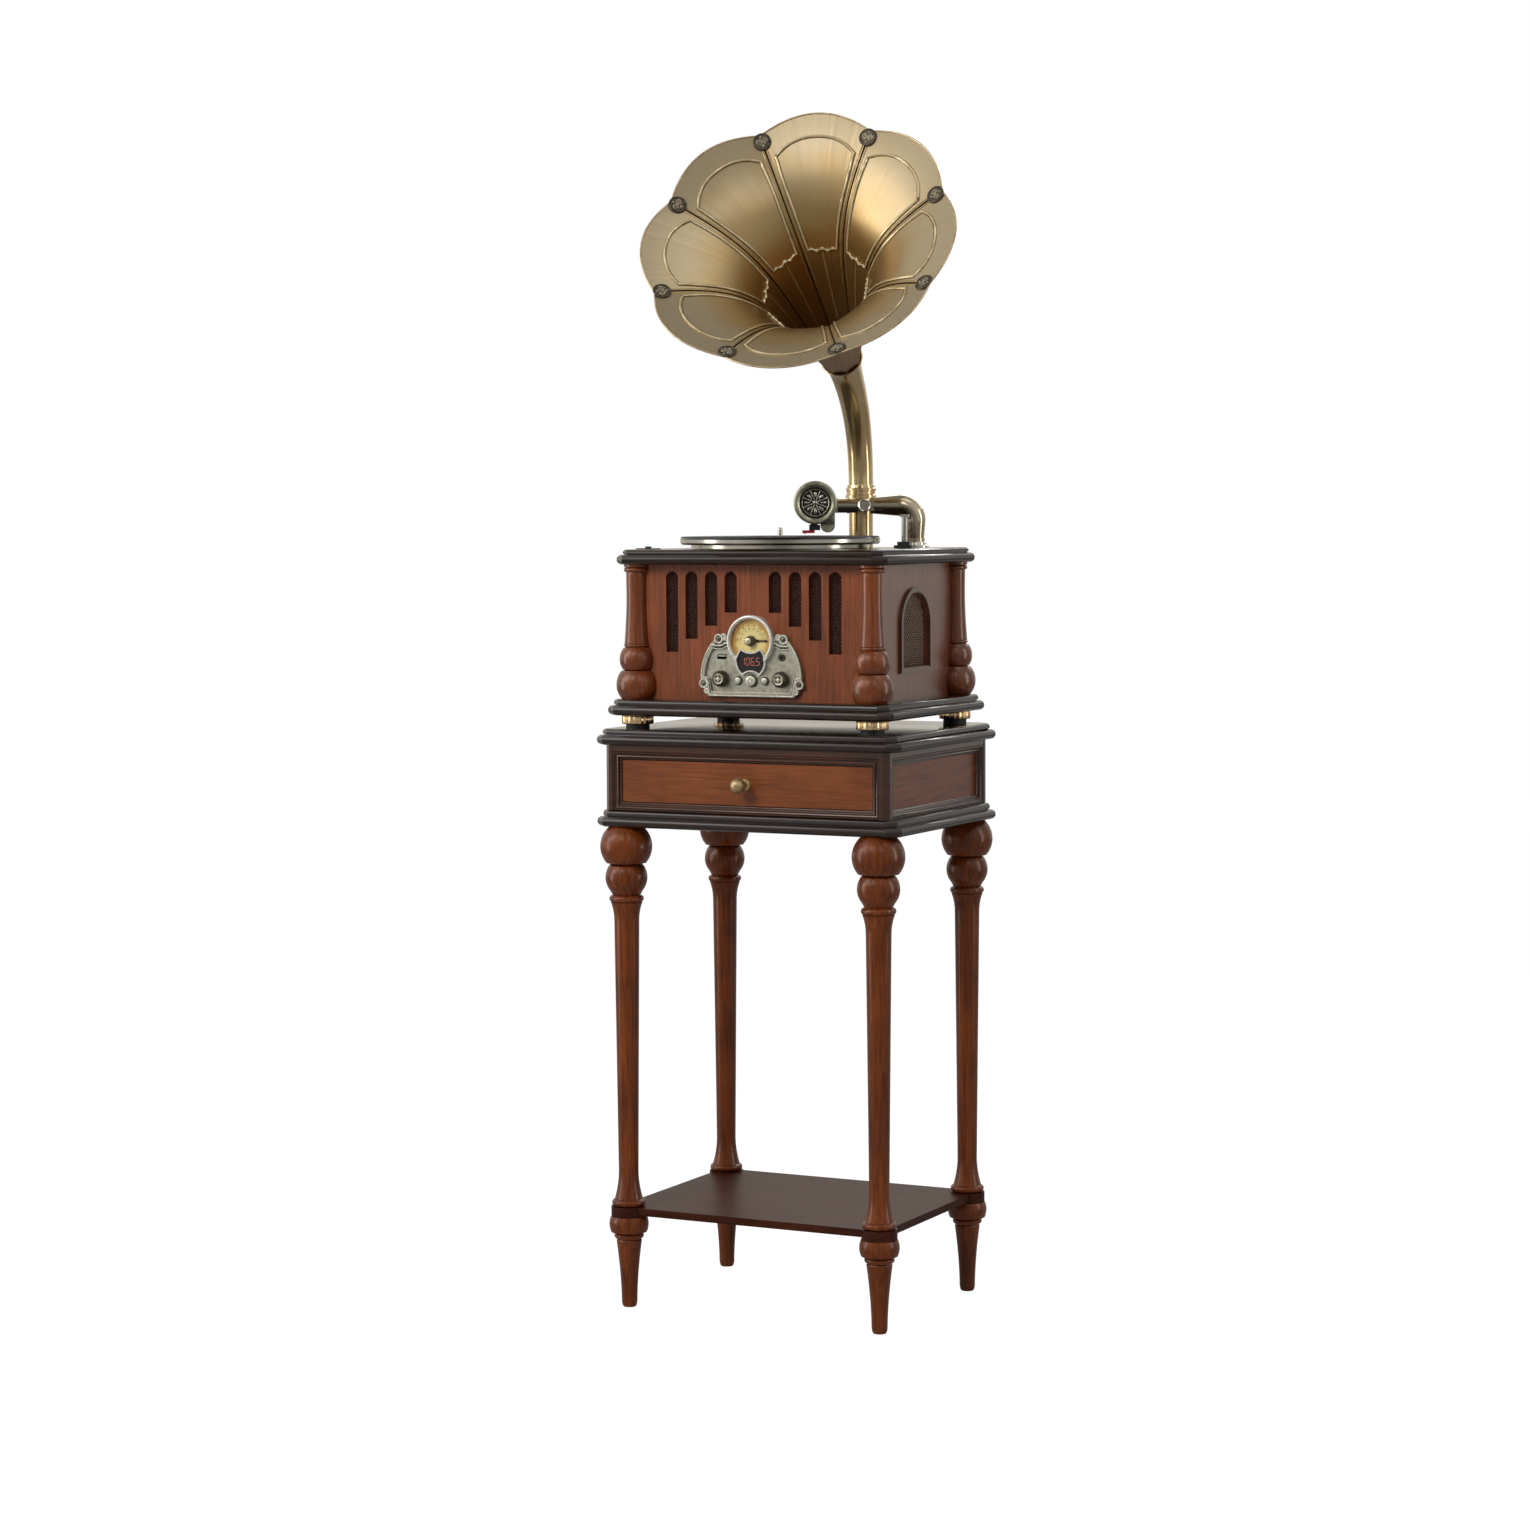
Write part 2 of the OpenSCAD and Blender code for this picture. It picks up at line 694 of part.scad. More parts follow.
// Rear plate with the mains inlet, two phono outlets and the bodies behind them
module rear_sockets() {
  z = z_case + socket_up;
  color("#1d1d1f") difference() {
    union() {
      translate([socket_x - socket_w / 2, case_hd, z - socket_h / 2])
        cube([socket_w, socket_plate_t, socket_h]);
      translate([socket_x - socket_w / 2 + socket_body_in, case_hd - front_t - socket_body_l,
          z - socket_body_h / 2])
        cube([socket_w - 2 * socket_body_in, front_t + socket_body_l, socket_body_h]);
      for (i = [0, 1]) translate([phono_x + phono_pitch * i, case_hd + socket_plate_t, z])
        rotate([-90, 0, 0]) cylinder(r = phono_r, h = phono_l, $fn = small_fn);
    }
    for (i = [-1, 1]) translate([inlet_x + i * inlet_gap / 2, case_hd - 10, z])
      rotate([-90, 0, 0]) cylinder(r = inlet_r, h = 20, $fn = small_fn);
    for (i = [0, 1]) translate([phono_x + phono_pitch * i, case_hd - 4, z])
      rotate([-90, 0, 0]) cylinder(r = phono_r / 2.5, h = 20, $fn = small_fn);
  }
}

column_ball_up = 20.5;
column_second_up = 57;
column_flare_up = 77.5;
column_waist_up = 150;
column_neck_h = 7.5;
column_cap_h = 3.4;

function column_outline() = concat(
  [[0, 0]],
  ball(column_ball_up, column_ball_r, 0, column_second_up - 16.5, 16),
  [[17.5, column_second_up - 16]],
  ball(column_second_up, column_second_r, column_second_up - 15, column_second_up + 16),
  [[17, column_flare_up - 3]],
  bead(column_flare_up - 0.5, 17, 2.2, 6),
  reversed(sweep_r(column_waist_up, column_waist_r, column_flare_up + 2, 18.4, 1.8)),
  [[column_waist_r + 0.4, case_h - column_neck_h - 4]],
  bead(case_h - column_neck_h, 15.2, column_cap_h, 6),
  [[18.6, case_h - column_neck_h + column_cap_h + 0.4], [18.6, case_h], [0, case_h]]);

module columns() {
  notch = column_ball_r + 5;
  color("saddlebrown") in_quadrants() translate([case_hw, case_hd, z_case]) difference() {
    rotate_extrude($fn = ring_fn) polygon(column_outline());
    translate([-notch, -notch, -1]) cube([notch, notch, case_h + 2]);
  }
}

module deck_board() {
  color("#2b2322") difference() {
    translate([0, 0, z_deck_low])
      moulded_board(case_w + 2 * deck_over_x, case_d + 2 * deck_over_y, deck_t);
    translate([platter_x, platter_y, z_deck_low - 1])
      cylinder(r = axle_r + 3, h = deck_t + 2, $fn = small_fn);
    translate([pipe_x, pipe_y, z_deck - pipe_tenon_l])
      cylinder(r = pipe_tenon_r + fit, h = pipe_tenon_l + 1, $fn = small_fn);
    translate([speed_x, speed_y, z_deck - 8]) cube([speed_slot, speed_slot_w, 20], center = true);
  }
}

// Perforated sheets

module front_grille() {
  edge = 6;
  last = slot_first + slot_pitch * (slot_count - 1) + slot_w / 2 + edge;
  color("#241a18") to_front(grille_y + grille_t, grille_t) difference() {
    translate([-last, z_case + slot_low(slot_count - 1) - edge])
      square([2 * last, slot_top + 2 * edge - slot_low(slot_count - 1) - 0.5]);
    control_hole(-1.5);
  }
}

window_bead = 1.6;

module window_frames() {
  color("#3a1c14") for (side = [-1, 1]) mirror([side < 0 ? 1 : 0, 0, 0]) {
    to_right(case_hw, 2.4) difference() {
      arch(window_r + window_rim);
      arch(window_r);
    }
    to_right(case_hw + 2.4, window_bead) difference() {
      arch(window_r + window_rim - 1.4);
      arch(window_r + 1.4);
    }
  }
}

module window_grilles() {
  color("#241a18") for (side = [-1, 1])
    to_right(side > 0 ? case_hw - side_t - grille_t : -case_hw + side_t, grille_t)
      arch(window_r + 5);
}

// Inside pieces

speaker_up = case_h - 63.5;
magnet_r = 27;
speaker_l = 46;

module speakers() {
  flange_t = 3;
  basket = 26;
  color("#303236") for (side = [-1, 1])
    translate([side * speaker_x, grille_y + grille_t, z_case + speaker_up]) rotate([-90, 0, 0])
      rotate_extrude($fn = ring_fn) polygon([[0, basket], [16, basket - 2], [speaker_r - 6, 2],
        [speaker_r - 4, 0], [speaker_r, 0], [speaker_r, flange_t], [speaker_r - 4, flange_t],
        [magnet_r, basket + 4], [magnet_r, speaker_l], [0, speaker_l]]);
}

board_y = grille_y + 16;
circuit_w = 120;
circuit_t = 1.6;
circuit_h = 74;
pot_r = 8;
pot_l = 12;

module circuit_board() {
  color("#2f5a3a") {
    translate([-circuit_w / 2, board_y, z_case]) cube([circuit_w, circuit_t, circuit_h]);
    for (side = [-1, 1]) translate([side * knob_x, board_y, z_case + knob_up]) rotate([90, 0, 0])
      cylinder(r = pot_r, h = pot_l, $fn = small_fn);
  }
}

module turntable_motor() {
  color("#5b5e63") translate([platter_x, platter_y, z_deck_low - motor_h]) difference() {
    cylinder(r = motor_r, h = motor_h, $fn = ring_fn);
    translate([0, 0, 3]) cylinder(r = axle_r + fit, h = motor_h, $fn = small_fn);
  }
}

// Controls

dome_up = 32;
dome_cut = 91;
plate_low = 6.5;
plate_foot_hw = 68;
ear_r = 6.8;
seat_r = 5.2;
seat_y = plate_top_y + 1.5;
low_ear = [75.5, 24.5];
low_curl = [70.5, 14];
high_ear = [51, 88];
high_curl = [43, 91];
curl_r = 4;
display_notch_up = 23.5;
display_notch_r = 20.5;
display_crown_up = 93.5;
display_crown_r = 26;
display_rim = 2;
button_up = 29;
usb_up = 62.5;
usb_w = 14.5;
usb_h = 6.8;

module plate_outline(in = 0) {
  intersection() {
    translate([0, z_case + dome_up]) circle(r = plate_r - in, $fn = ring_fn);
    translate([-plate_r, z_case + dome_up]) square([2 * plate_r, dome_cut - dome_up - in]);
  }
  translate([0, z_case]) polygon([[-plate_foot_hw + in * 0.6, plate_low + in],
    [plate_foot_hw - in * 0.6, plate_low + in], [plate_r - in - 0.5, dome_up - 6],
    [plate_r - in, dome_up], [plate_r - in - 4, dome_up + 5], [-plate_r + in + 4, dome_up + 5],
    [-plate_r + in, dome_up], [-plate_r + in + 0.5, dome_up - 6]]);
}

module at_ears() {
  for (side = [-1, 1], p = [low_ear, high_ear]) translate([side * p[0], z_case + p[1]]) children();
}

module display_outline(grow = 0) {
  difference() {
    translate([0, z_display]) circle(r = display_r + grow, $fn = ring_fn);
    translate([0, z_case + display_notch_up]) circle(r = display_notch_r - grow, $fn = ring_fn);
    translate([0, z_case + display_crown_up]) circle(r = display_crown_r - grow, $fn = ring_fn);
  }
}

module bezel_outline(grow = 0) {
  translate([0, z_dial]) circle(r = bezel_r + grow, $fn = ring_fn);
  display_outline(display_rim + grow);
}

module control_plate() {
  color("#a8a594") difference() {
    union() {
      to_front(face_y, plate_t) difference() {
        plate_outline();
        plate_outline(plate_rim);
      }
      to_front(face_y, plate_floor) plate_outline();
      to_front(face_y, plate_t - 1) {
        at_ears() circle(r = ear_r, $fn = small_fn);
        for (side = [-1, 1], p = [low_curl, high_curl])
          translate([side * p[0], z_case + p[1]]) circle(r = curl_r, $fn = small_fn);
      }
    }
    to_front(seat_y, plate_t) at_ears() circle(r = seat_r, $fn = small_fn);
    to_front(face_y + 1, plate_t + 2) {
      bezel_outline(fit);
      for (side = [-1, 1]) translate([side * knob_x, z_case + knob_up])
        circle(r = shaft_r + fit, $fn = small_fn);
      translate([0, z_case + button_up]) circle(r = button_big_r + 2 * fit, $fn = small_fn);
      for (side = [-1, 1]) translate([side * button_pitch, z_case + button_up])
        circle(r = button_small_r + 2 * fit, $fn = small_fn);
      translate([-knob_x - usb_w / 2 - fit, z_case + usb_up - usb_h / 2 - fit])
        square([usb_w + 2 * fit, usb_h + 2 * fit]);
      translate([knob_x, z_case + usb_up]) circle(r = jack_r + fit, $fn = small_fn);
    }
  }
}
jack_r = 4;

module plate_screws() {
  head_r = 3.4;
  head_t = 1.6;
  slot = 0.9;
  color("#8d8b80") at_screw_heads() difference() {
    rotate([90, 0, 0]) rotate_extrude($fn = small_fn) polygon(concat([[0, 0], [head_r, 0]],
      [for (a = [15:15:90]) [head_r * cos(a), head_t * sin(a)]]));
    translate([0, -head_t, 0]) rotate([0, 45, 0]) cube([3 * head_r, 1.2, slot], center = true);
  }
}

module at_screw_heads() {
  for (side = [-1, 1], p = [low_ear, high_ear])
    translate([side * p[0], seat_y, z_case + p[1]]) children();
}

module dial_bezel() {
  display_t = 8.5;
  color("#c9c7bd") {
    to_front(face_y, bezel_t) difference() {
      translate([0, z_dial]) circle(r = bezel_r, $fn = ring_fn);
      translate([0, z_dial]) circle(r = bezel_r - bezel_w, $fn = ring_fn);
      display_outline(0);
    }
    to_front(face_y, display_t) difference() {
      display_outline(display_rim);
      display_outline(0);
    }
  }
}

module dial_face() {
  color("#e3cf8b") to_front(face_y, dial_t) difference() {
    translate([0, z_dial]) circle(r = bezel_r - bezel_w - fit, $fn = ring_fn);
    display_outline(display_rim + fit);
    translate([0, z_dial]) circle(r = shaft_r + fit, $fn = small_fn);
  }
}

module display_window() {
  color("#201a1c") to_front(face_y, 5.5) display_outline(-fit);
}

knob_gap = 0.8;

module tuning_knob() {
  shaft_l = 24;
  hub_l = 3;
  cap_l = 11.5;
  y0 = face_y - dial_t - knob_gap;
  color("#8f8a78") {
    turned_front(0, y0, z_dial) polygon([[0, -shaft_l], [shaft_r, -shaft_l], [shaft_r, 0], [tuner_r, 0],
      [tuner_r, hub_l], [tuner_r - 1.4, hub_l + 0.8], [tuner_r - 1.6, cap_l - 1.5],
      [tuner_r - 2.6, cap_l], [0, cap_l]]);
    to_front(y0, 1.2) polygon([[0, z_dial - 3.5], [tuner_r + 6, z_dial - 1.6],
      [pointer_l, z_dial - 0.3], [pointer_l, z_dial + 0.3], [tuner_r + 6, z_dial + 1.6],
      [0, z_dial + 3.5]]);
  }
}

module side_knob(x) {
  ribs = 18;
  y0 = plate_floor_y - knob_gap;
  shaft_end = y0 - board_y + pot_l + slack;
  color("#77725f") difference() {
    turned_front(x, y0, z_case + knob_up) polygon([[0, shaft_end],
      [shaft_r, shaft_end], [shaft_r, 0], [knob_r, 0], [knob_r, 2],
      [knob_r - 0.8, 2.6], [knob_r - 1.6, knob_l - 2], [knob_r - 2.8, knob_l - 0.6],
      [knob_r - 4, knob_l], [knob_r - 4.4, knob_l - 0.8], [0, knob_l - 0.8]]);
    for (i = [0:ribs - 1]) translate([x, y0 - knob_l / 2 - 2, z_case + knob_up])
      rotate([0, i * 360 / ribs, 0]) translate([knob_r - 0.6, 0, 0])
        cube([0.9, knob_l - 4, 1], center = true);
  }
}

module mode_knob() side_knob(-knob_x);
module volume_knob() side_knob(knob_x);

module button(x, r, out) {
  color("#b5b2a2") turned_front(x, face_y - button_travel - 0.3, z_case + button_up)
    polygon([[0, 0], [r, 0], [r, out - 1], [r - 0.6, out - 0.3], [r - 1.6, out], [0, out + 0.2]]);
}

module button_left() button(-button_pitch, button_small_r, 6);
module button_middle() button(0, button_big_r, 7);
module button_right() button(button_pitch, button_small_r, 6);

module usb_socket() {
  wall = 0.7;
  depth = 12;
  tongue_t = 1.8;
  y0 = plate_floor_y - 0.4;
  color("#9a9a96") difference() {
    translate([-knob_x - usb_w / 2, y0, z_case + usb_up - usb_h / 2]) cube([usb_w, depth, usb_h]);
    difference() {
      translate([-knob_x - usb_w / 2 + wall, y0 - 1, z_case + usb_up - usb_h / 2 + wall])
        cube([usb_w - 2 * wall, depth - 1, usb_h - 2 * wall]);
      translate([-knob_x - usb_w / 2 + 1.6, y0 + 0.6, z_case + usb_up + 0.2])
        cube([usb_w - 3.2, depth, tongue_t]);
    }
  }
}

module sound_jack() {
  nut_r = 5.2;
  nut_t = 1.6;
  depth = 14;
  color("#3a3a3c") difference() {
    turned_front(knob_x, plate_floor_y + depth, z_case + usb_up) polygon([[0, 0], [jack_r, 0],
      [jack_r, depth], [nut_r, depth], [nut_r, depth + nut_t], [0, depth + nut_t]]);
    turned_front(knob_x, plate_floor_y + depth - 2, z_case + usb_up)
      square([jack_bore_r, depth + nut_t]);
  }
}

// Turntable

module platter() {
  chamfer = 1.6;
  color("#b9b3a4") translate([platter_x, platter_y, 0]) difference() {
    rotate_extrude($fn = 180) polygon([[0, z_platter - under_h], [under_r, z_platter - under_h],
      [under_r, z_platter], [platter_r - 3, z_platter], [platter_r, z_platter + 3],
      [platter_r, z_mat - chamfer], [platter_r - chamfer, z_mat], [0, z_mat]]);
    cylinder(r = axle_r + fit, h = 2 * z_deck, $fn = small_fn);
  }
}

module platter_mat() {
  color("#161616") translate([platter_x, platter_y, z_mat]) difference() {
    cylinder(r = platter_r - 1.8, h = mat_t, $fn = 180);
    translate([0, 0, -1]) cylinder(r = axle_r + fit, h = mat_t + 2, $fn = small_fn);
  }
}

module spindle() {
  tip = 3;
  low = z_deck_low - motor_h + 4;
  top = z_mat + mat_t + spindle_up;
  collar_z0 = z_deck + 0.2;
  collar_r = 11;
  color("#c8c8c6") translate([platter_x, platter_y, 0]) rotate_extrude($fn = small_fn) polygon(concat(
    [[0, low], [axle_r, low], [axle_r, collar_z0], [collar_r, collar_z0],
      [collar_r, z_platter - under_h], [axle_r, z_platter - under_h],
      [axle_r, z_mat + mat_t], [spindle_r, z_mat + mat_t]],
    [for (a = [0:15:90]) [spindle_r * cos(a), top - tip + tip * sin(a)]]));
}

speed_side = 6;
speed_front = 24;
speed_x = speed_side - case_hw;
speed_y = speed_front - case_hd;
speed_slot_w = 5;
speed_l = 33;
speed_w = 14;
speed_t = 1.4;
speed_throw = 6;
speed_shank = 4;
speed_slot = speed_shank + 2 * speed_throw + 4;

module speed_plate() {
  color("#1b1b1c") translate([speed_x, speed_y, z_deck]) difference() {
    translate([-speed_l / 2, -speed_w / 2, 0]) cube([speed_l, speed_w, speed_t]);
    cube([speed_slot, speed_slot_w, 4 * speed_t], center = true);
  }
}

module speed_lever() {
  color("#303032") translate([speed_x, speed_y, z_deck + speed_t + slack]) {
    translate([-3.5, -3.5, 0]) cube([7, 7, 2.2]);
    translate([-speed_shank / 2, -1.8, -10]) cube([speed_shank, 3.6, 10.5]);
  }
}

// Arm, drawn along +X from the pillar and then turned to its rest direction

module arm_frame() {
  translate([arm_x, arm_y, 0]) rotate(arm_turn) children();
}

arm_base_r = 21;
arm_base_h = 8;
arm_gap = 0.4;

module arm_base() {
  color("#b7b1a3") translate([arm_x, arm_y, z_deck]) difference() {
    rotate_extrude($fn = ring_fn) polygon([[0, 0], [arm_base_r, 0], [arm_base_r, 2],
      [arm_base_r - 1.5, 3.2], [arm_base_r - 4, 3.8], [arm_base_r - 4.6, 7],
      [arm_base_r - 5.6, arm_base_h], [0, arm_base_h]]);
    translate([0, 0, 1.5]) cylinder(r = pillar_pin_r + fit, h = arm_base_h, $fn = small_fn);
  }
}
pillar_pin_r = 9;

cheek_in = 8.8;
cheek_t = 2.6;
cheek_r = 7.5;
pin_r = 2.5;
barrel_r = 7;

module arm_post() {
  tube_end = lift_l - barrel_r - 1.5;
  color("#a89878") arm_frame() {
    difference() {
      union() {
        translate([0, 0, z_deck + 2]) cylinder(r = pillar_pin_r, h = arm_base_h, $fn = small_fn);
        translate([0, 0, z_deck + arm_base_h + arm_gap]) {
          cylinder(r = pillar_r + 1.4, h = 5, $fn = ring_fn);
          cylinder(r1 = pillar_r, r2 = arm_bend_r, h = arm_up - arm_base_h - arm_gap - bend_r,
            $fn = ring_fn);
        }
        translate([bend_r, 0, z_arm - bend_r]) rotate([90, 0, 0]) rotate(90)
          rotate_extrude(angle = 90, $fn = ring_fn) translate([bend_r, 0])
            circle(r = arm_bend_r, $fn = small_fn);
        translate([bend_r, 0, z_arm]) rotate([0, 90, 0])
          cylinder(r1 = arm_bend_r, r2 = arm_tip_r, h = tube_end - bend_r, $fn = ring_fn);
        for (side = [-1, 1]) translate([tube_end - 6, side * (cheek_in + cheek_t / 2), z_arm]) {
          translate([0, -cheek_t / 2, -cheek_r])
            cube([lift_l - tube_end + 6, cheek_t, 2 * cheek_r]);
          translate([lift_l - tube_end + 6, 0, 0]) rotate([90, 0, 0])
            cylinder(r = cheek_r, h = cheek_t, center = true, $fn = small_fn);
        }
      }
      translate([lift_l, 0, z_arm]) rotate([90, 0, 0])
        cylinder(r = pin_r + fit, h = 60, center = true, $fn = small_fn);
    }
  }
}

// Pin about which the sound box lifts, with its round head to the front
module arm_pin() {
  head_r = 9.4;
  head_t = 4.4;
  nut_r = 4.5;
  reach = cheek_in + cheek_t;
  color("#d0cdc2") arm_frame() translate([lift_l, -reach, z_arm]) rotate([-90, 0, 0])
    rotate_extrude($fn = small_fn) polygon([[0, -2], [nut_r, -2], [nut_r, 0], [pin_r, 0],
      [pin_r, 2 * reach], [head_r, 2 * reach], [head_r, 2 * reach + head_t - 1],
      [head_r - 1.2, 2 * reach + head_t], [head_r - 2.4, 2 * reach + head_t - 0.8],
      [0, 2 * reach + head_t - 0.8]]);
}

box_rise = 4.5;
box_back = 3.5;

module arm_tube() {
  neck_r = 6.5;
  color("#b7b1a3") arm_frame() difference() {
    union() {
      translate([lift_l, 0, z_arm]) rotate([90, 0, 0])
        cylinder(r = barrel_r, h = 2 * cheek_in - 0.6, center = true, $fn = small_fn);
      translate([lift_l, 0, z_arm]) rotate([0, 90, 0])
        cylinder(r = neck_r, h = 10, $fn = small_fn);
      translate([lift_l + 8.5, 0, z_arm]) rotate([0, 90, 0])
        cylinder(r = lift_tube_r, h = box_l - lift_l - 8.5, $fn = small_fn);
      translate([box_l, 0, z_arm]) sphere(r = lift_tube_r, $fn = small_fn);
      translate([lift_l + 22, 0, z_arm]) rotate([0, 90, 0])
        cylinder(r = lift_tube_r + 1, h = 3, $fn = small_fn);
    }
    translate([lift_l, 0, z_arm]) rotate([90, 0, 0])
      cylinder(r = pin_r + fit, h = 60, center = true, $fn = small_fn);
    translate([box_l - box_r - 1, box_back, z_arm - box_r]) cube([2 * box_r, 2 * box_t, 2 * box_r]);
  }
}

// Sound box: a ringed disc with a spoked grille over its membrane, with a back plate
module sound_box() {
  spokes = 8;
  rim_in = 7.5;
  floor_t = 4;
  tab_w = 21;
  tab_out = 28.5;
  tab_l = 43.5;
  tab_t = 3;
  color("#c9c4b4") arm_frame() translate([box_l, box_back, z_arm + box_rise]) {
    rotate([-90, 0, 0]) {
      rotate_extrude($fn = ring_fn) polygon([[0, 0], [box_r - 2, 0], [box_r, 2], [box_r, box_t - 2],
        [box_r - 1.5, box_t - 0.4], [box_r - 4, box_t], [box_r - 5.4, box_t - 1.2],
        [box_r - rim_in, box_t - 2.5], [box_r - rim_in, floor_t], [0, floor_t]]);
      translate([0, 0, floor_t]) difference() {
        cylinder(r = box_r - rim_in - 2.4, h = 3.4, $fn = ring_fn);
        translate([0, 0, 1]) cylinder(r = box_r - rim_in - 4.6, h = 3.4, $fn = ring_fn);
      }
      translate([0, 0, floor_t]) cylinder(r = 4.4, h = 3.6, $fn = small_fn);
      for (i = [0:spokes - 1]) rotate(i * 360 / spokes) translate([3, -0.9, floor_t])
        cube([box_r - rim_in - 7, 1.8, 2.8]);
    }
    translate([-tab_out, 0, -tab_l + tab_w / 2]) cube([tab_w, tab_t, tab_l - tab_w / 2 - 8]);
    translate([-tab_out + tab_w / 2, 0, -tab_l + tab_w / 2]) rotate([-90, 0, 0])
      cylinder(r = tab_w / 2, h = tab_t, $fn = small_fn);
  }
}

cartridge_z = z_arm + box_rise - 40;

cartridge_h = 8;
cartridge_l = 16;
cartridge_w = 12;
stylus_h = 4.2;

module cartridge() {
  color("#18181a") arm_frame() {
    translate([stylus_l - 22, box_back - 9, cartridge_z])
      cube([cartridge_l, cartridge_w, cartridge_h]);
    translate([stylus_l - 18, box_back - 7, cartridge_z + cartridge_h])
      cube([10, 7, z_arm - lift_tube_r - 0.1 - cartridge_z - cartridge_h]);
  }
}

module stylus() {
  tip_l = 1.6;
  color("#b8323c") arm_frame() translate([stylus_l - 14, box_back - 8, cartridge_z - stylus_h]) {
    cube([18, 10, stylus_h]);
    translate([14, 5, -tip_l]) cylinder(r1 = 0.4, r2 = 1.2, h = tip_l, $fn = 24);
  }
}

// Rest on which the arm tube parks
rest_l = 68;
park_swing = 75;

module arm_rest() {
  base_w = 26;
  step_w = 18;
  post_r = 4.5;
  saddle_w = 12;
  saddle_t = 4;
  top = z_arm - arm_tip_r - 1.3;
  color("#202022") translate([arm_x, arm_y, 0]) rotate(arm_turn + park_swing)
    translate([rest_l, 0, 0]) {
      translate([-base_w / 2, -base_w / 2, z_deck]) cube([base_w, base_w, 4]);
      translate([-step_w / 2, -step_w / 2, z_deck + 4]) cube([step_w, step_w, 5]);
      translate([0, 0, z_deck + 9]) cylinder(r = post_r, h = top - saddle_t - z_deck - 9, $fn = small_fn);
      translate([-4, -saddle_w / 2, top - saddle_t]) cube([8, saddle_w, saddle_t]);
    }
}

// Horn

spigot_r = 14;
spigot_h = 30;

pipe_tenon_r = pipe_r - 1.5;
pipe_tenon_l = 12;
bore_up = 8;

module horn_pipe() {
  color("#a48a5c") translate([pipe_x, pipe_y, 0]) difference() {
    rotate_extrude($fn = ring_fn) polygon([[0, z_deck - pipe_tenon_l],
      [pipe_tenon_r, z_deck - pipe_tenon_l], [pipe_tenon_r, z_deck], [pipe_r, z_deck],
      [pipe_r, z_collar],
      [collar_r, z_collar], [collar_r, z_collar + 5], [collar_r - 1.8, z_collar + 6.4],
      [collar_r - 1.8, z_collar + 11], [collar_r - 0.6, z_collar + 12],
      [collar_r - 0.6, z_collar + 15], [collar_r - 2.4, z_collar + 16],
      [collar_r - 3.2, z_collar + collar_h], [0, z_collar + collar_h]]);
    translate([0, 0, z_deck - pipe_tenon_l - 1])
      cylinder(r = pipe_tenon_r - 1.5, h = pipe_tenon_l + 2 * bore_up, $fn = small_fn);
    translate([0, 0, z_deck + bore_up])
      cylinder(r = spigot_r + fit, h = pipe_h + collar_h, $fn = small_fn);
  }
}

function bezier(p, t) = let (s = 1 - t)
  s * s * s * p[0] + 3 * s * s * t * p[1] + 3 * s * t * t * p[2] + t * t * t * p[3];
function bezier_way(p, t) = let (s = 1 - t)
  s * s * (p[1] - p[0]) + 2 * s * t * (p[2] - p[1]) + t * t * (p[3] - p[2]);

// Shape of the bell's flare: its rise, the bend of the rise, and the spread near the rim
flare_rise = 0.84;
flare_bend = 0.8;
flare_power = 6;

// Elbow centre line in its own plane: distance forward and height
elbow_neck = 6;
elbow_points = [[0, 0], [0, 104], [elbow_reach - 56 * cos(horn_tilt), elbow_rise - 56 * sin(horn_tilt)],
  [elbow_reach + elbow_neck * cos(horn_tilt), elbow_rise + elbow_neck * sin(horn_tilt)]];
elbow_rings = 22;
elbow_sides = 32;

// Radius of the elbow along its way, with the lip at its end
function elbow_r(t) = elbow_low_r + (elbow_top_r - elbow_low_r) * pow(t, 1.5)
  + (lip_r - elbow_top_r) * pow(t, 16);

function elbow_ring(i, in) =
  let (t = i / elbow_rings, c = bezier(elbow_points, t), w = bezier_way(elbow_points, t),
    u = w / norm(w), r = elbow_r(t) - in)
  [for (k = [0:elbow_sides - 1]) let (a = 360 * k / elbow_sides)
    [c[0] + u[1] * r * cos(a), r * sin(a), c[1] - u[0] * r * cos(a)]];

// Closed shell between an outer and an inner grid, each of rings by sides points
function skin_faces(rings, sides) =
  let (half = (rings + 1) * sides)
  concat(
    [for (i = [0:rings - 1], k = [0:sides - 1], h = [0, 1])
      let (n = (k + 1) % sides, a = i * sides, b = (i + 1) * sides)
      h == 0 ? [a + k, b + k, b + n] : [a + k, b + n, a + n]],
    [for (i = [0:rings - 1], k = [0:sides - 1], h = [0, 1])
      let (n = (k + 1) % sides, a = half + i * sides, b = half + (i + 1) * sides)
      h == 0 ? [a + k, b + n, b + k] : [a + k, a + n, b + n]],
    [for (k = [0:sides - 1], h = [0, 1]) let (n = (k + 1) % sides)
      h == 0 ? [k, n, half + n] : [k, half + n, half + k]],
    [for (k = [0:sides - 1], h = [0, 1]) let (n = (k + 1) % sides, e = rings * sides)
      h == 0 ? [e + k, half + e + n, e + n] : [e + k, half + e + k, half + e + n]]);

module horn_swivel() {
  translate([pipe_x, pipe_y, z_elbow]) rotate(horn_turn) children();
}

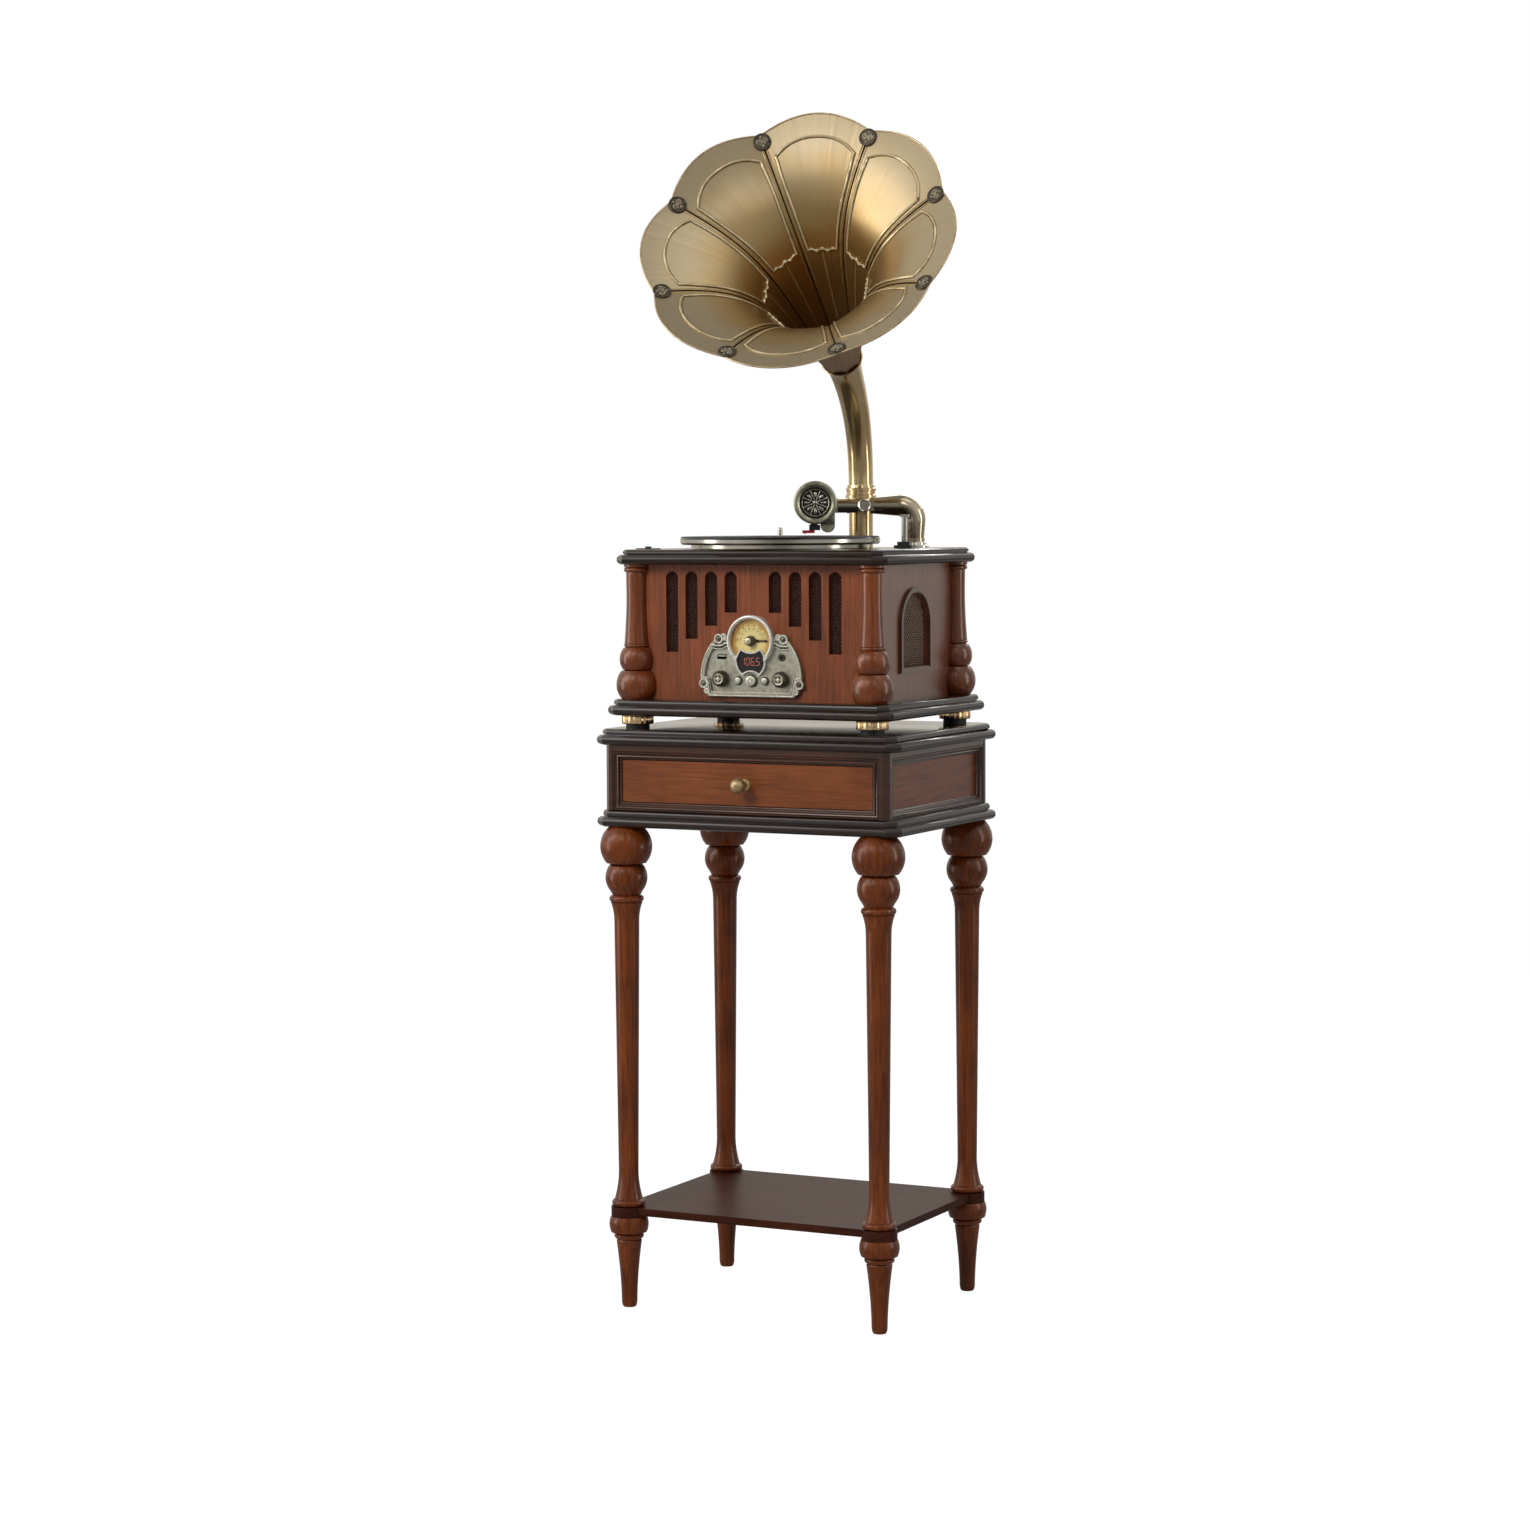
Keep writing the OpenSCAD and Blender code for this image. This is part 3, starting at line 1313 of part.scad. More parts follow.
module horn_elbow() {
  color("#a48a5c") horn_swivel() {
    difference() {
      translate([0, 0, -spigot_h]) cylinder(r = spigot_r, h = spigot_h + 4, $fn = small_fn);
      translate([0, 0, -spigot_h - 1])
        cylinder(r = spigot_r - elbow_wall, h = spigot_h + 6, $fn = small_fn);
    }
    polyhedron(concat([for (i = [0:elbow_rings]) each elbow_ring(i, 0)],
      [for (i = [0:elbow_rings]) each elbow_ring(i, i == 0 ? elbow_low_r - spigot_r + 0.6 : elbow_wall)]),
      skin_faces(elbow_rings, elbow_sides), convexity = 8);
  }
}

// Horn bell: distance along its axis, radius at the seams, and the shape of a petal
bell_rings = 22;
petal_steps = 10;
bell_sides = petals * petal_steps;

function flare(s) =
  let (rise = flare_rise * pow(s, flare_bend), full = flare_rise * pow(horn_l, flare_bend))
  throat_r + rise + (mouth_r - throat_r - full) * pow(s / horn_l, flare_power);
function petal_flat(psi) = cos(180 / petals) / cos(180 / petals * psi);
function petal_lobe(psi) = pow(cos(90 * psi), 1.06);

function bell_point(i, k, in) =
  let (v = i / bell_rings, s = horn_l * (1 - pow(1 - v, 1.35)),
    psi = 2 * (k % petal_steps) / petal_steps - 1,
    flatness = 1 - pow(v, 2), r0 = flare(s),
    lobe = petal_lobe(psi) * pow(v, 5),
    r = (r0 - in) * (1 + (petal_flat(psi) - 1) * flatness) * (1 + petal_swell * lobe),
    back = in * 0.9 * v, a = rosette_turn + 360 * k / bell_sides)
  [s + petal_forward * lobe + back, r * cos(a) - horn_lean * s / horn_l, r * sin(a)];

module bell_frame() {
  translate([elbow_reach, 0, elbow_rise]) rotate([0, -horn_tilt, 0]) children();
}

module horn_bell() {
  color("#b09766") horn_swivel() bell_frame()
    polyhedron(concat(
      [for (i = [0:bell_rings], k = [0:bell_sides - 1]) bell_point(i, k, 0)],
      [for (i = [0:bell_rings], k = [0:bell_sides - 1]) bell_point(i, k, sheet_t)]),
      skin_faces(bell_rings, bell_sides), convexity = 8);
}

module horn_rosettes() {
  rosette_t = 2.2;
  s = horn_l - 4.6;
  steep = atan((flare(s + 1) - flare(s - 1)) / 2);
  lift = 2 * sheet_t;
  color("#6a5a3e") horn_swivel() bell_frame() for (i = [0:petals - 1])
    translate([s, -horn_lean * s / horn_l, 0])
      rotate([rosette_turn - 90 + i * 360 / petals, 0, 0]) translate([0, 0, flare(s)])
        rotate([0, 180 - steep, 0]) translate([0, 0, lift])
          cylinder(r = rosette_r, h = rosette_t, $fn = small_fn);
}

leg_front_left();
leg_front_right();
leg_back_left();
leg_back_right();
shelf();
stand_bottom_board();
bay_frame();
bay_panels();
bay_mouldings();
stand_top_board();
drawer_runners();
drawer_box();
drawer_front();
drawer_knob();
foot_pads();
foot_rings();
base_board();
front_panel();
side_panels();
rear_panel();
columns();
deck_board();
front_grille();
window_frames();
window_grilles();
speakers();
circuit_board();
rear_sockets();
control_plate();
plate_screws();
dial_bezel();
dial_face();
display_window();
tuning_knob();
mode_knob();
volume_knob();
button_left();
button_middle();
button_right();
usb_socket();
sound_jack();
turntable_motor();
platter();
platter_mat();
spindle();
speed_plate();
speed_lever();
arm_base();
arm_post();
arm_pin();
arm_tube();
sound_box();
cartridge();
stylus();
arm_rest();
horn_pipe();
horn_elbow();
horn_bell();
horn_rosettes();
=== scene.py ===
"""Looks of a floor standing record player with a flower horn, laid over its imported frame."""
import math

import bmesh
import bpy
from bpy.props import FloatProperty, IntProperty, PointerProperty, StringProperty
from mathutils import Matrix, Vector


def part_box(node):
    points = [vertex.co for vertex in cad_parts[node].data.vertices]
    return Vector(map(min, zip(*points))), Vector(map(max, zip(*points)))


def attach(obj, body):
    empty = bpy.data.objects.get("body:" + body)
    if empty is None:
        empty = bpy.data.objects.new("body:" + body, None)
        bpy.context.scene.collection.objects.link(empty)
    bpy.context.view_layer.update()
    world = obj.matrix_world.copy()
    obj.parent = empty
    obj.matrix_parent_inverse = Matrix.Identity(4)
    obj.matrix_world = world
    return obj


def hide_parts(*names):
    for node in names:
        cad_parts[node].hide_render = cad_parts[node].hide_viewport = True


bl_info = {
    "name": "Record Player With Horn",
    "version": (1, 0, 0),
    "blender": (4, 5, 0),
    "location": "3D View > Sidebar > Record Player",
    "description": "Builds the looks of a floor standing record player over its frame",
    "category": "Add Mesh",
}

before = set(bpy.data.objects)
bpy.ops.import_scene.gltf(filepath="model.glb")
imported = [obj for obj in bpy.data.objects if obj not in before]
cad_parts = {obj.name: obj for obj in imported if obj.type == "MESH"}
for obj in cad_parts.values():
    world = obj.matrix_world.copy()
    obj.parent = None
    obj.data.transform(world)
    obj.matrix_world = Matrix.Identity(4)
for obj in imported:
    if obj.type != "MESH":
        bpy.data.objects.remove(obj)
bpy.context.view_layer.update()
MM = 0.001


def colour(code):
    """Linear RGBA of an sRGB hex code."""
    parts = [int(code[i:i + 2], 16) / 255 for i in (1, 3, 5)]
    linear = [p / 12.92 if p <= 0.04045 else ((p + 0.055) / 1.055) ** 2.4 for p in parts]
    return (*linear, 1.0)


def feed(target, values):
    """Sets inputs of a node or links them to outputs; a node stands for its first output."""
    for key, value in values.items():
        socket = target.inputs[key.replace("_", " ") if isinstance(key, str) else key]
        if isinstance(value, bpy.types.Node):
            value = next(out for out in value.outputs if out.enabled)
        if isinstance(value, bpy.types.NodeSocket):
            target.id_data.links.new(value, socket)
        else:
            socket.default_value = value


def node(tree, kind, *feeds, stops=(), **settings):
    """Adds one shader node: feeds fill its first inputs, capital settings the inputs so named."""
    made = tree.nodes.new("ShaderNode" + kind)
    inputs = dict(enumerate(feeds))
    for key, value in settings.items():
        if key[0].isupper():
            inputs[key] = value
        else:
            setattr(made, key, value)
    feed(made, inputs)
    if stops:
        points = made.color_ramp.elements
        while len(points) < len(stops):
            points.new(0.5)
        for point, (place, shade) in zip(points, stops):
            point.position = place
            point.color = colour(shade) if isinstance(shade, str) else (shade, shade, shade, 1.0)
    return made


def new_finish(name, **surface):
    """A material with its surface shader and the object coordinates that its patterns read."""
    made = bpy.data.materials.new(name)
    made.use_nodes = True
    tree = made.node_tree
    shader = tree.nodes["Principled BSDF"]
    feed(shader, surface)
    return made, tree, shader, node(tree, "TexCoord").outputs["Object"]


# Finishes


def walnut(name, stretch, light, dark, gloss=0.32, pitting=0.5, shine=1.0):
    """Stained walnut, turned or sawn, under satin lacquer: fine dark pores along the grain."""
    made, tree, shader, place = new_finish(
        name, Roughness=gloss, IOR=1.5, Specular_IOR_Level=0.32 * shine,
        Specular_Tint=colour("#FFE6CE"), Coat_Weight=0.3 * shine, Coat_Roughness=0.24)
    along = node(tree, "Mapping", place, Scale=stretch)
    # Grain bands are about 4 mm apart, pores about 1.2 mm, drawn coarse enough to show
    bands = node(tree, "TexNoise", along, Scale=250.0, Detail=5.0, Roughness=0.62, Distortion=0.4)
    cloud = node(tree, "TexNoise", place, Scale=14.0, Detail=3.0)
    pores = node(tree, "TexNoise", along, Scale=820.0, Detail=2.0)
    both = node(tree, "Mix", Factor=0.33, A=bands, B=cloud)
    stain = node(tree, "ValToRGB", both, stops=[(0.36, dark), (0.66, light)])
    pits = node(tree, "ValToRGB", pores, stops=[(0.33, 0.7), (0.44, 1.0)])
    shade = node(tree, "Mix", Factor=pitting, A=stain, B=pits, data_type="RGBA",
                 blend_type="MULTIPLY")
    relief = node(tree, "Bump", Strength=0.07, Distance=0.0003, Height=pits)
    feed(shader, {"Base Color": shade, "Normal": relief})
    return made


def lacquer(name, tint, worn, gloss=0.42):
    """Black brown piano lacquer on moulded boards, a little smoother on top than on the edges."""
    made, tree, shader, place = new_finish(name, IOR=1.52, Specular_IOR_Level=gloss,
                                           Coat_Weight=0.12, Coat_Roughness=0.05)
    cloud = node(tree, "TexNoise", place, Scale=60.0, Detail=4.0)
    shade = node(tree, "ValToRGB", cloud, stops=[(0.35, tint), (0.75, worn)])
    up = node(tree, "SeparateXYZ", node(tree, "NewGeometry").outputs["True Normal"]).outputs["Z"]
    flat = node(tree, "MapRange", up, From_Min=0.97, From_Max=0.999, To_Min=0.1, To_Max=0.09)
    smear = node(tree, "TexNoise", place, Scale=9.0, Detail=3.0)
    rough = node(tree, "Math", smear, 0.06, flat, operation="MULTIPLY_ADD")
    feed(shader, {"Base Color": shade, "Roughness": rough})
    return made


def metal(name, light, dark, rough=0.3, patch=30.0, bump=0.0, bump_scale=300.0, metallic=1.0):
    """Metal with a patina: two tones in soft patches, and dents or casting grain as bump."""
    made, tree, shader, place = new_finish(name, Metallic=metallic)
    cloud = node(tree, "TexNoise", place, Scale=patch, Detail=6.0, Roughness=0.65)
    tone = node(tree, "ValToRGB", cloud, stops=[(0.3, dark), (0.62, light)])
    worn = node(tree, "MapRange", cloud, From_Min=0.3, From_Max=0.7, To_Min=rough * 1.3,
                To_Max=rough * 0.8)
    feed(shader, {"Base Color": tone, "Roughness": worn})
    if bump:
        grit = node(tree, "TexNoise", place, Scale=bump_scale, Detail=3.0)
        relief = node(tree, "Bump", Strength=bump, Distance=0.0006, Height=grit)
        feed(shader, {"Normal": relief})
    return made


def plain(name, tint, rough=0.45, grain=900.0, bump=0.1):
    """Moulded plastic or rubber: one colour with a fine moulded grain."""
    made, tree, shader, place = new_finish(name, Roughness=rough)
    grit = node(tree, "TexNoise", place, Scale=grain, Detail=2.0)
    soft = node(tree, "HueSaturation", Value=0.93, Color=colour(tint))
    tone = node(tree, "Mix", Factor=grit, A=colour(tint), B=soft, data_type="RGBA")
    relief = node(tree, "Bump", Strength=bump, Distance=0.0002, Height=grit)
    feed(shader, {"Base Color": tone, "Normal": relief})
    return made


def two_tone(name, level, lower, upper, rough, shiny_above):
    """Two finishes that meet at a height in metres; one of them is bare metal."""
    made, tree, shader, place = new_finish(name, Roughness=rough)
    height = node(tree, "SeparateXYZ", place).outputs["Z"]
    above = node(tree, "Math", height, level, operation="GREATER_THAN")
    cloud = node(tree, "TexNoise", place, Scale=60.0, Detail=4.0)
    worn = node(tree, "HueSaturation", Value=0.8, Color=colour(lower))
    base = node(tree, "Mix", Factor=cloud, A=colour(lower), B=worn, data_type="RGBA")
    tint = node(tree, "Mix", Factor=above, A=base, B=colour(upper), data_type="RGBA")
    bare = node(tree, "MapRange", above, To_Min=1.0 - shiny_above, To_Max=shiny_above)
    feed(shader, {"Base Color": tint, "Metallic": bare})
    return made


def glow(name, tint, strength):
    """Lit segments of a display: they give light and hide their own shading."""
    made, tree, shader, place = new_finish(name, Roughness=0.4, Emission_Strength=strength)
    flicker = node(tree, "TexNoise", place, Scale=700.0)
    shade = node(tree, "ValToRGB", flicker, stops=[(0.2, tint), (0.8, tint)])
    feed(shader, {"Base Color": shade, "Emission Color": shade})
    return made


# Places, in millimetres


def moved(x, y, z):
    return Matrix.Translation((x, y, z))


def spun(angle, axis="Z"):
    return Matrix.Rotation(angle, 4, axis)


def axes(x, y, z, point):
    """A frame at a point with the given axes."""
    return Matrix.Translation(point) @ Matrix((x, y, z)).transposed().to_4x4()


def spread(first, last, steps):
    """Evenly spaced values from first to last, both included."""
    return [first + (last - first) * i / steps for i in range(steps + 1)]


def arc(x, y, r, first, last, steps):
    """Points on a circle about (x, y) from one angle to another in degrees, both included."""
    return [(x + r * math.cos(a), y + r * math.sin(a))
            for a in map(math.radians, spread(first, last, steps))]


# The horn's frame and shape, as in the source of the solids

PIPE = Vector((37.0, 139.0, 1188.3))
TURN, TILT = math.radians(-78.16), math.radians(35.0)
REACH, RISE, NECK = 111.2, 177.0, 6.0
HORN_L, MOUTH_R, THROAT_R, LEAN = 270.4, 212.5, 25.0, 8.9
SWELL, FORWARD, PETALS, SHEET = 0.061, 9.4, 8, 1.4
# Radius gained along the axis, the late flare at the rim, and how rings crowd towards it
GAIN, GAIN_POWER, RIM_POWER, CROWDING = 0.84, 0.8, 6, 1.35
# Roundness of the lobes, the lip that turns in and back at the rim, and the shift of its face
LOBE_POWER, LOBE_RISE, LIP_IN, LIP_BACK, LIP_POWER, FACE_SHIFT = 1.06, 5, 1.6, 1.0, 8, 1.26
ROSETTE_TURN = math.radians(68.4)
SWIVEL = moved(*PIPE) @ spun(TURN)
BELL = SWIVEL @ moved(REACH, 0, RISE) @ spun(-TILT, "Y")
AXIS = BELL.to_3x3() @ Vector((1, 0, 0))


def flare(s):
    """Radius of the horn at the seams, s along its axis."""
    full = GAIN * HORN_L ** GAIN_POWER
    return (THROAT_R + GAIN * max(s, 0.0) ** GAIN_POWER
            + (MOUTH_R - THROAT_R - full) * (s / HORN_L) ** RIM_POWER)


def depth_at(v):
    """Distance along the axis at v, from 0 at the throat to 1 at the rim."""
    return HORN_L * (1 - (1 - v) ** CROWDING)


def horn_point(v, turn, lift=0.0):
    """A point on the inner face of the horn: v from throat to rim, turn in petals."""
    v = min(max(v, 0.0), 1.0)
    s = depth_at(v)
    psi = 2 * (turn % 1.0) - 1
    lobe = max(math.cos(math.pi / 2 * psi), 0.0) ** LOBE_POWER * v ** LOBE_RISE
    # Flat sides at the throat grow into a round mouth
    flat = math.cos(math.pi / PETALS) / math.cos(math.pi / PETALS * psi)
    r = ((flare(s) - SHEET) * (1 + (flat - 1) * (1 - v * v)) * (1 + SWELL * lobe)
         - LIP_IN * v ** LIP_POWER)
    a = ROSETTE_TURN + 2 * math.pi * turn / PETALS
    place = Vector((s + FORWARD * lobe + FACE_SHIFT * v - LIP_BACK * v ** LIP_POWER,
                    r * math.cos(a) - LEAN * s / HORN_L, r * math.sin(a)))
    if lift:
        up = Vector((flare(s + 1) - flare(s - 1), -2 * math.cos(a), -2 * math.sin(a)))
        place += up.normalized() * lift
    return BELL @ place


# Mesh helpers: they take millimetres and give metres


def placed(mesh, before, matrix):
    """Moves what was added since before by a matrix in millimetres, and scales it to metres."""
    new = [v for v in mesh.verts if v not in before]
    bmesh.ops.transform(mesh, matrix=Matrix.Diagonal((MM, MM, MM, 1)) @ matrix, verts=new)


def turned(mesh, outline, matrix=Matrix(), steps=64):
    """Spins an outline of (radius, height) points about Z and places it."""
    before = set(mesh.verts)
    points = [mesh.verts.new((max(r, 0.0), 0, z)) for r, z in outline]
    edges = [mesh.edges.new(pair) for pair in zip(points, points[1:])]
    bmesh.ops.spin(mesh, geom=points + edges, cent=(0, 0, 0), axis=(0, 0, 1), angle=2 * math.pi,
                   steps=steps, use_merge=True)
    new = [v for v in mesh.verts if v not in before]
    bmesh.ops.remove_doubles(mesh, verts=new, dist=1e-4)
    placed(mesh, before, matrix)


def ring_matrix(point, way, side):
    """Frame of a ring at point, facing way, with its first axis near side."""
    z = way.normalized()
    x = (side - z * side.dot(z)).normalized()
    return axes(x, z.cross(x), z, point)


def swept(mesh, points, radii, sides=8, closed=False, side=Vector((0.31, 0.17, 0.94)), flat=1.0):
    """A tube whose ring is extruded from point to point; side keeps it from twisting."""
    before = set(mesh.verts)
    count = len(points)
    ways = []
    for i in range(count):
        a = points[i - 1] if closed or i else points[0]
        b = points[(i + 1) % count] if closed or i < count - 1 else points[-1]
        ways.append(b - a)
    frames = [ring_matrix(p, w, side) for p, w in zip(points, ways)]
    order = list(range(count)) + ([0] if closed else [])
    radius = radii if isinstance(radii, list) else [radii] * count
    ring = bmesh.ops.create_circle(mesh, cap_ends=not closed, segments=sides, radius=1.0)["verts"]
    last = frames[0] @ Matrix.Diagonal((radius[0], radius[0] * flat, 1, 1))
    bmesh.ops.transform(mesh, matrix=last, verts=ring)
    known = set(ring)
    edges = [e for e in mesh.edges if e.verts[0] in known and e.verts[1] in known]
    for i in order[1:]:
        out = bmesh.ops.extrude_edge_only(mesh, edges=edges)["geom"]
        verts = [g for g in out if isinstance(g, bmesh.types.BMVert)]
        edges = [g for g in out if isinstance(g, bmesh.types.BMEdge)]
        here = frames[i] @ Matrix.Diagonal((radius[i], radius[i] * flat, 1, 1))
        bmesh.ops.transform(mesh, matrix=here @ last.inverted(), verts=verts)
        last = here
    if closed:
        new = [v for v in mesh.verts if v not in before]
        bmesh.ops.remove_doubles(mesh, verts=new, dist=1e-3)
    else:
        bmesh.ops.contextual_create(mesh, geom=edges)
    placed(mesh, before, Matrix())


def block(mesh, low, high, matrix=Matrix(), bevel=0.0):
    """A box between two corners, its edges rounded by bevel."""
    before = set(mesh.verts)
    size = [b - a for a, b in zip(low, high)]
    middle = [(a + b) / 2 for a, b in zip(low, high)]
    bmesh.ops.create_cube(mesh, size=1.0, matrix=moved(*middle) @ Matrix.Diagonal((*size, 1)))
    if bevel:
        edges = [e for e in mesh.edges if e.verts[0] not in before]
        bmesh.ops.bevel(mesh, geom=edges, offset=bevel, segments=2, profile=0.5,
                        affect="EDGES", material=-1)
    placed(mesh, before, matrix)


def blocks_round(mesh, count, low, high, seat, bevel=0.0, first=0.0):
    """The same box count times round its seat; first shifts them by a share of their step."""
    for i in range(count):
        block(mesh, low, high, seat @ spun((i + first) * 2 * math.pi / count), bevel)


def finish_piece(mesh, name, finish, body, *replaces, smooth=40):
    """Makes the object: seams merged, faces outwards, smooth below an angle, riding its body."""
    bmesh.ops.remove_doubles(mesh, verts=mesh.verts, dist=1e-6)
    bmesh.ops.recalc_face_normals(mesh, faces=mesh.faces)
    data = bpy.data.meshes.new(name)
    mesh.to_mesh(data)
    mesh.free()
    data.materials.append(finish)
    data.polygons.foreach_set("use_smooth", [True] * len(data.polygons))
    data.set_sharp_from_angle(angle=math.radians(smooth))
    piece = bpy.data.objects.new(name, data)
    bpy.context.scene.collection.objects.link(piece)
    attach(piece, body)
    if replaces:
        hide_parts(*replaces)


def keep(finish, *names, smooth=32):
    """Gives solids their finish; merged and split edges let their round faces shade smoothly."""
    for name in names:
        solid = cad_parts[name]
        solid.data.materials.clear()
        solid.data.materials.append(finish)
        solid.data.polygons.foreach_set("use_smooth", [True] * len(solid.data.polygons))
        solid.modifiers.new("Merge", "WELD").merge_threshold = 1e-6
        solid.modifiers.new("Edges", "EDGE_SPLIT").split_angle = math.radians(smooth)


def settings():
    return bpy.context.scene.record_player


def hex_colour(name, default, what):
    """A property that holds a colour."""
    return StringProperty(name=name, default=default, description=what + ", as sRGB hex")


class Colours(bpy.types.PropertyGroup):
    """Colours and sizes of the record player's looks that a user may change."""

    wood_light: hex_colour("Wood Light", "#8E4518", "Light tone of the stained wood")
    wood_dark: hex_colour("Wood Dark", "#552610", "Dark tone of the stained wood")
    board: hex_colour("Boards", "#2A1D16", "Lacquer of the moulded boards")
    horn_rim: hex_colour("Horn Rim", "#AF9D7D", "Brass at the rim of the horn")
    # Painted shade: the brass tone deep in the horn stands for the shade inside it
    horn_deep_shade: hex_colour("Horn Inside", "#9A7240", "Brass deep in the horn")
    dial: hex_colour("Dial", "#ECD284", "Dial face")
    wire: FloatProperty(name="Wire", default=0.001, min=0.0003, max=0.002, unit="LENGTH",
                        description="Thickness of the grille wires")
    pitch: FloatProperty(name="Mesh Pitch", default=0.0036, min=0.002, max=0.01, unit="LENGTH",
                         description="Distance between neighbouring grille wires")
    horn_steps: IntProperty(name="Petal Steps", default=30, min=8, max=60,
                            description="Faces across one petal of the horn")


# The photograph's camera, in metres and degrees, and the point that the lamps face
EYE = Vector((2.2977, -4.6704, 1.1620))
YAW, PITCH, ROLL = math.radians(26.72), math.radians(4.16), math.radians(-0.276)
LENS, FILM = 84.67, 36
MIDDLE = Vector((0, 0, 0.95))
# Softboxes for the shading and softboxes for the reflections are set apart: name, degrees round
# from the camera, degrees up, metres away, size, watts, lights matt faces, shows in shiny ones
LAMPS = (("left_softbox", -70, 27, 3.0, (1.5, 1.5), 19, False, True),
         ("left_strip", -86, 2, 3.0, (0.8, 2.4), 20, False, True),
         ("front_softbox", -30, 34, 3.4, (1.2, 1.2), 10, False, True),
         ("streak_softbox", 12, 33, 3.2, (0.35, 1.4), 4, False, True),
         ("rear_strip", 149, 27, 3.0, (2.4, 0.22), 7, False, True),
         ("right_softbox", 74, 8, 3.0, (0.5, 2.4), 17, False, True),
         ("key_softbox", -42, 30, 3.4, (1.0, 1.3), 64, True, False),
         ("side_fill", 62, 20, 3.0, (1.6, 1.6), 11, True, False),
         ("top_softbox", 50, 66, 2.6, (1.2, 1.2), 4, True, True),
         ("rear_softbox", 165, 30, 3.4, (1.6, 1.6), 14, True, True))


class RP_OT_stage(bpy.types.Operator):
    """Floor, soft light and the camera at the photograph's angle"""

    bl_idname = "record_player.stage"
    bl_label = "Stage and Camera"

    def execute(self, context):
        scene = context.scene
        ahead = Vector((-math.sin(YAW) * math.cos(PITCH), math.cos(YAW) * math.cos(PITCH),
                        -math.sin(PITCH)))
        level = Vector((math.cos(YAW), math.sin(YAW), 0))
        upright = level.cross(ahead)
        right = level * math.cos(ROLL) + upright * math.sin(ROLL)
        top = upright * math.cos(ROLL) - level * math.sin(ROLL)
        lens = bpy.data.cameras.new("Camera")
        lens.lens, lens.sensor_width = LENS, FILM
        lens.clip_start, lens.clip_end = 0.1, 100
        camera = bpy.data.objects.new("Camera", lens)
        scene.collection.objects.link(camera)
        camera.matrix_world = axes(right, top, -ahead, EYE)
        scene.camera = camera

        mesh = bmesh.new()
        bmesh.ops.create_grid(mesh, x_segments=1, y_segments=1, size=9.0)
        data = bpy.data.meshes.new("floor")
        mesh.to_mesh(data)
        mesh.free()
        floor = bpy.data.objects.new("floor", data)
        scene.collection.objects.link(floor)
        # Painted studio floor: white to the camera and in reflections, with a faint shadow
        white = colour("#FFFFFF")
        paint, tree, shader, place = new_finish("studio_floor_paint", Roughness=0.9,
                                                Base_Color=colour("#E8E8E8"))
        path = node(tree, "LightPath").outputs
        seen = node(tree, "Math", path["Is Camera Ray"], path["Is Glossy Ray"],
                    operation="MAXIMUM")
        bright = node(tree, "MapRange", path["Is Camera Ray"], To_Min=0.3, To_Max=1.2)
        part = node(tree, "Math", seen, 0.82, operation="MULTIPLY")
        lit = node(tree, "Emission", white, bright)
        blend = node(tree, "MixShader", part, shader, lit)
        feed(tree.nodes["Material Output"], {"Surface": blend})
        data.materials.append(paint)

        world = scene.world or bpy.data.worlds.new("Studio")
        scene.world = world
        world.use_nodes = True
        tree = world.node_tree
        tree.nodes.clear()
        path = node(tree, "LightPath").outputs
        seen = node(tree, "Math", path["Is Camera Ray"], path["Is Transmission Ray"],
                    operation="MAXIMUM")
        # Reflections see a studio with bright side walls, a dark front and a bright ceiling
        look = node(tree, "TexCoord").outputs["Generated"]
        turn = node(tree, "VectorMath", look, tuple(level), operation="DOT_PRODUCT")
        across = node(tree, "MapRange", turn, From_Min=-1.0)
        wall = node(tree, "ValToRGB", across,
                    stops=[(0.0, 0.95), (0.2, 0.8), (0.34, 0.44), (0.48, 0.28), (0.58, 0.34),
                           (0.7, 0.62), (0.85, 0.72), (1.0, 0.55)])
        rise = node(tree, "SeparateXYZ", look).outputs["Z"]
        height = node(tree, "MapRange", rise, From_Min=-0.2, From_Max=0.5, To_Min=0.7, To_Max=1.1)
        side = node(tree, "Mix", Factor=1.0, A=wall, B=height, data_type="RGBA",
                    blend_type="MULTIPLY")
        # The backdrop behind the object is lit, so grazing reflections of it are pale
        away = node(tree, "VectorMath", look, tuple(ahead), operation="DOT_PRODUCT")
        behind = node(tree, "MapRange", away, From_Min=0.4, From_Max=0.85)
        room = node(tree, "Mix", Factor=behind, A=side, B=colour("#DDD7CC"), data_type="RGBA")
        soft = node(tree, "Background", white, 0.13)
        mirror = node(tree, "Background", room, 1.0)
        both = node(tree, "MixShader", path["Is Glossy Ray"], soft, mirror)
        last = node(tree, "MixShader", seen, both, node(tree, "Background", white, 1.0))
        tree.nodes.active = node(tree, "OutputWorld", last)
        scene.view_settings.view_transform = "Standard"

        for name, azimuth, height, far, size, power, shades, shines in LAMPS:
            lamp = bpy.data.lights.new(name, "AREA")
            lamp.shape, lamp.size, lamp.size_y, lamp.energy = "RECTANGLE", size[0], size[1], power
            a, e = math.radians(azimuth) + YAW, math.radians(height)
            way = Vector((math.sin(a) * math.cos(e), -math.cos(a) * math.cos(e), math.sin(e)))
            thing = bpy.data.objects.new(name, lamp)
            scene.collection.objects.link(thing)
            thing.visible_diffuse, thing.visible_glossy = shades, shines
            thing.location = MIDDLE + way * far
            thing.rotation_mode = "QUATERNION"
            thing.rotation_quaternion = (-way).to_track_quat("-Z", "Y")
        return {"FINISHED"}


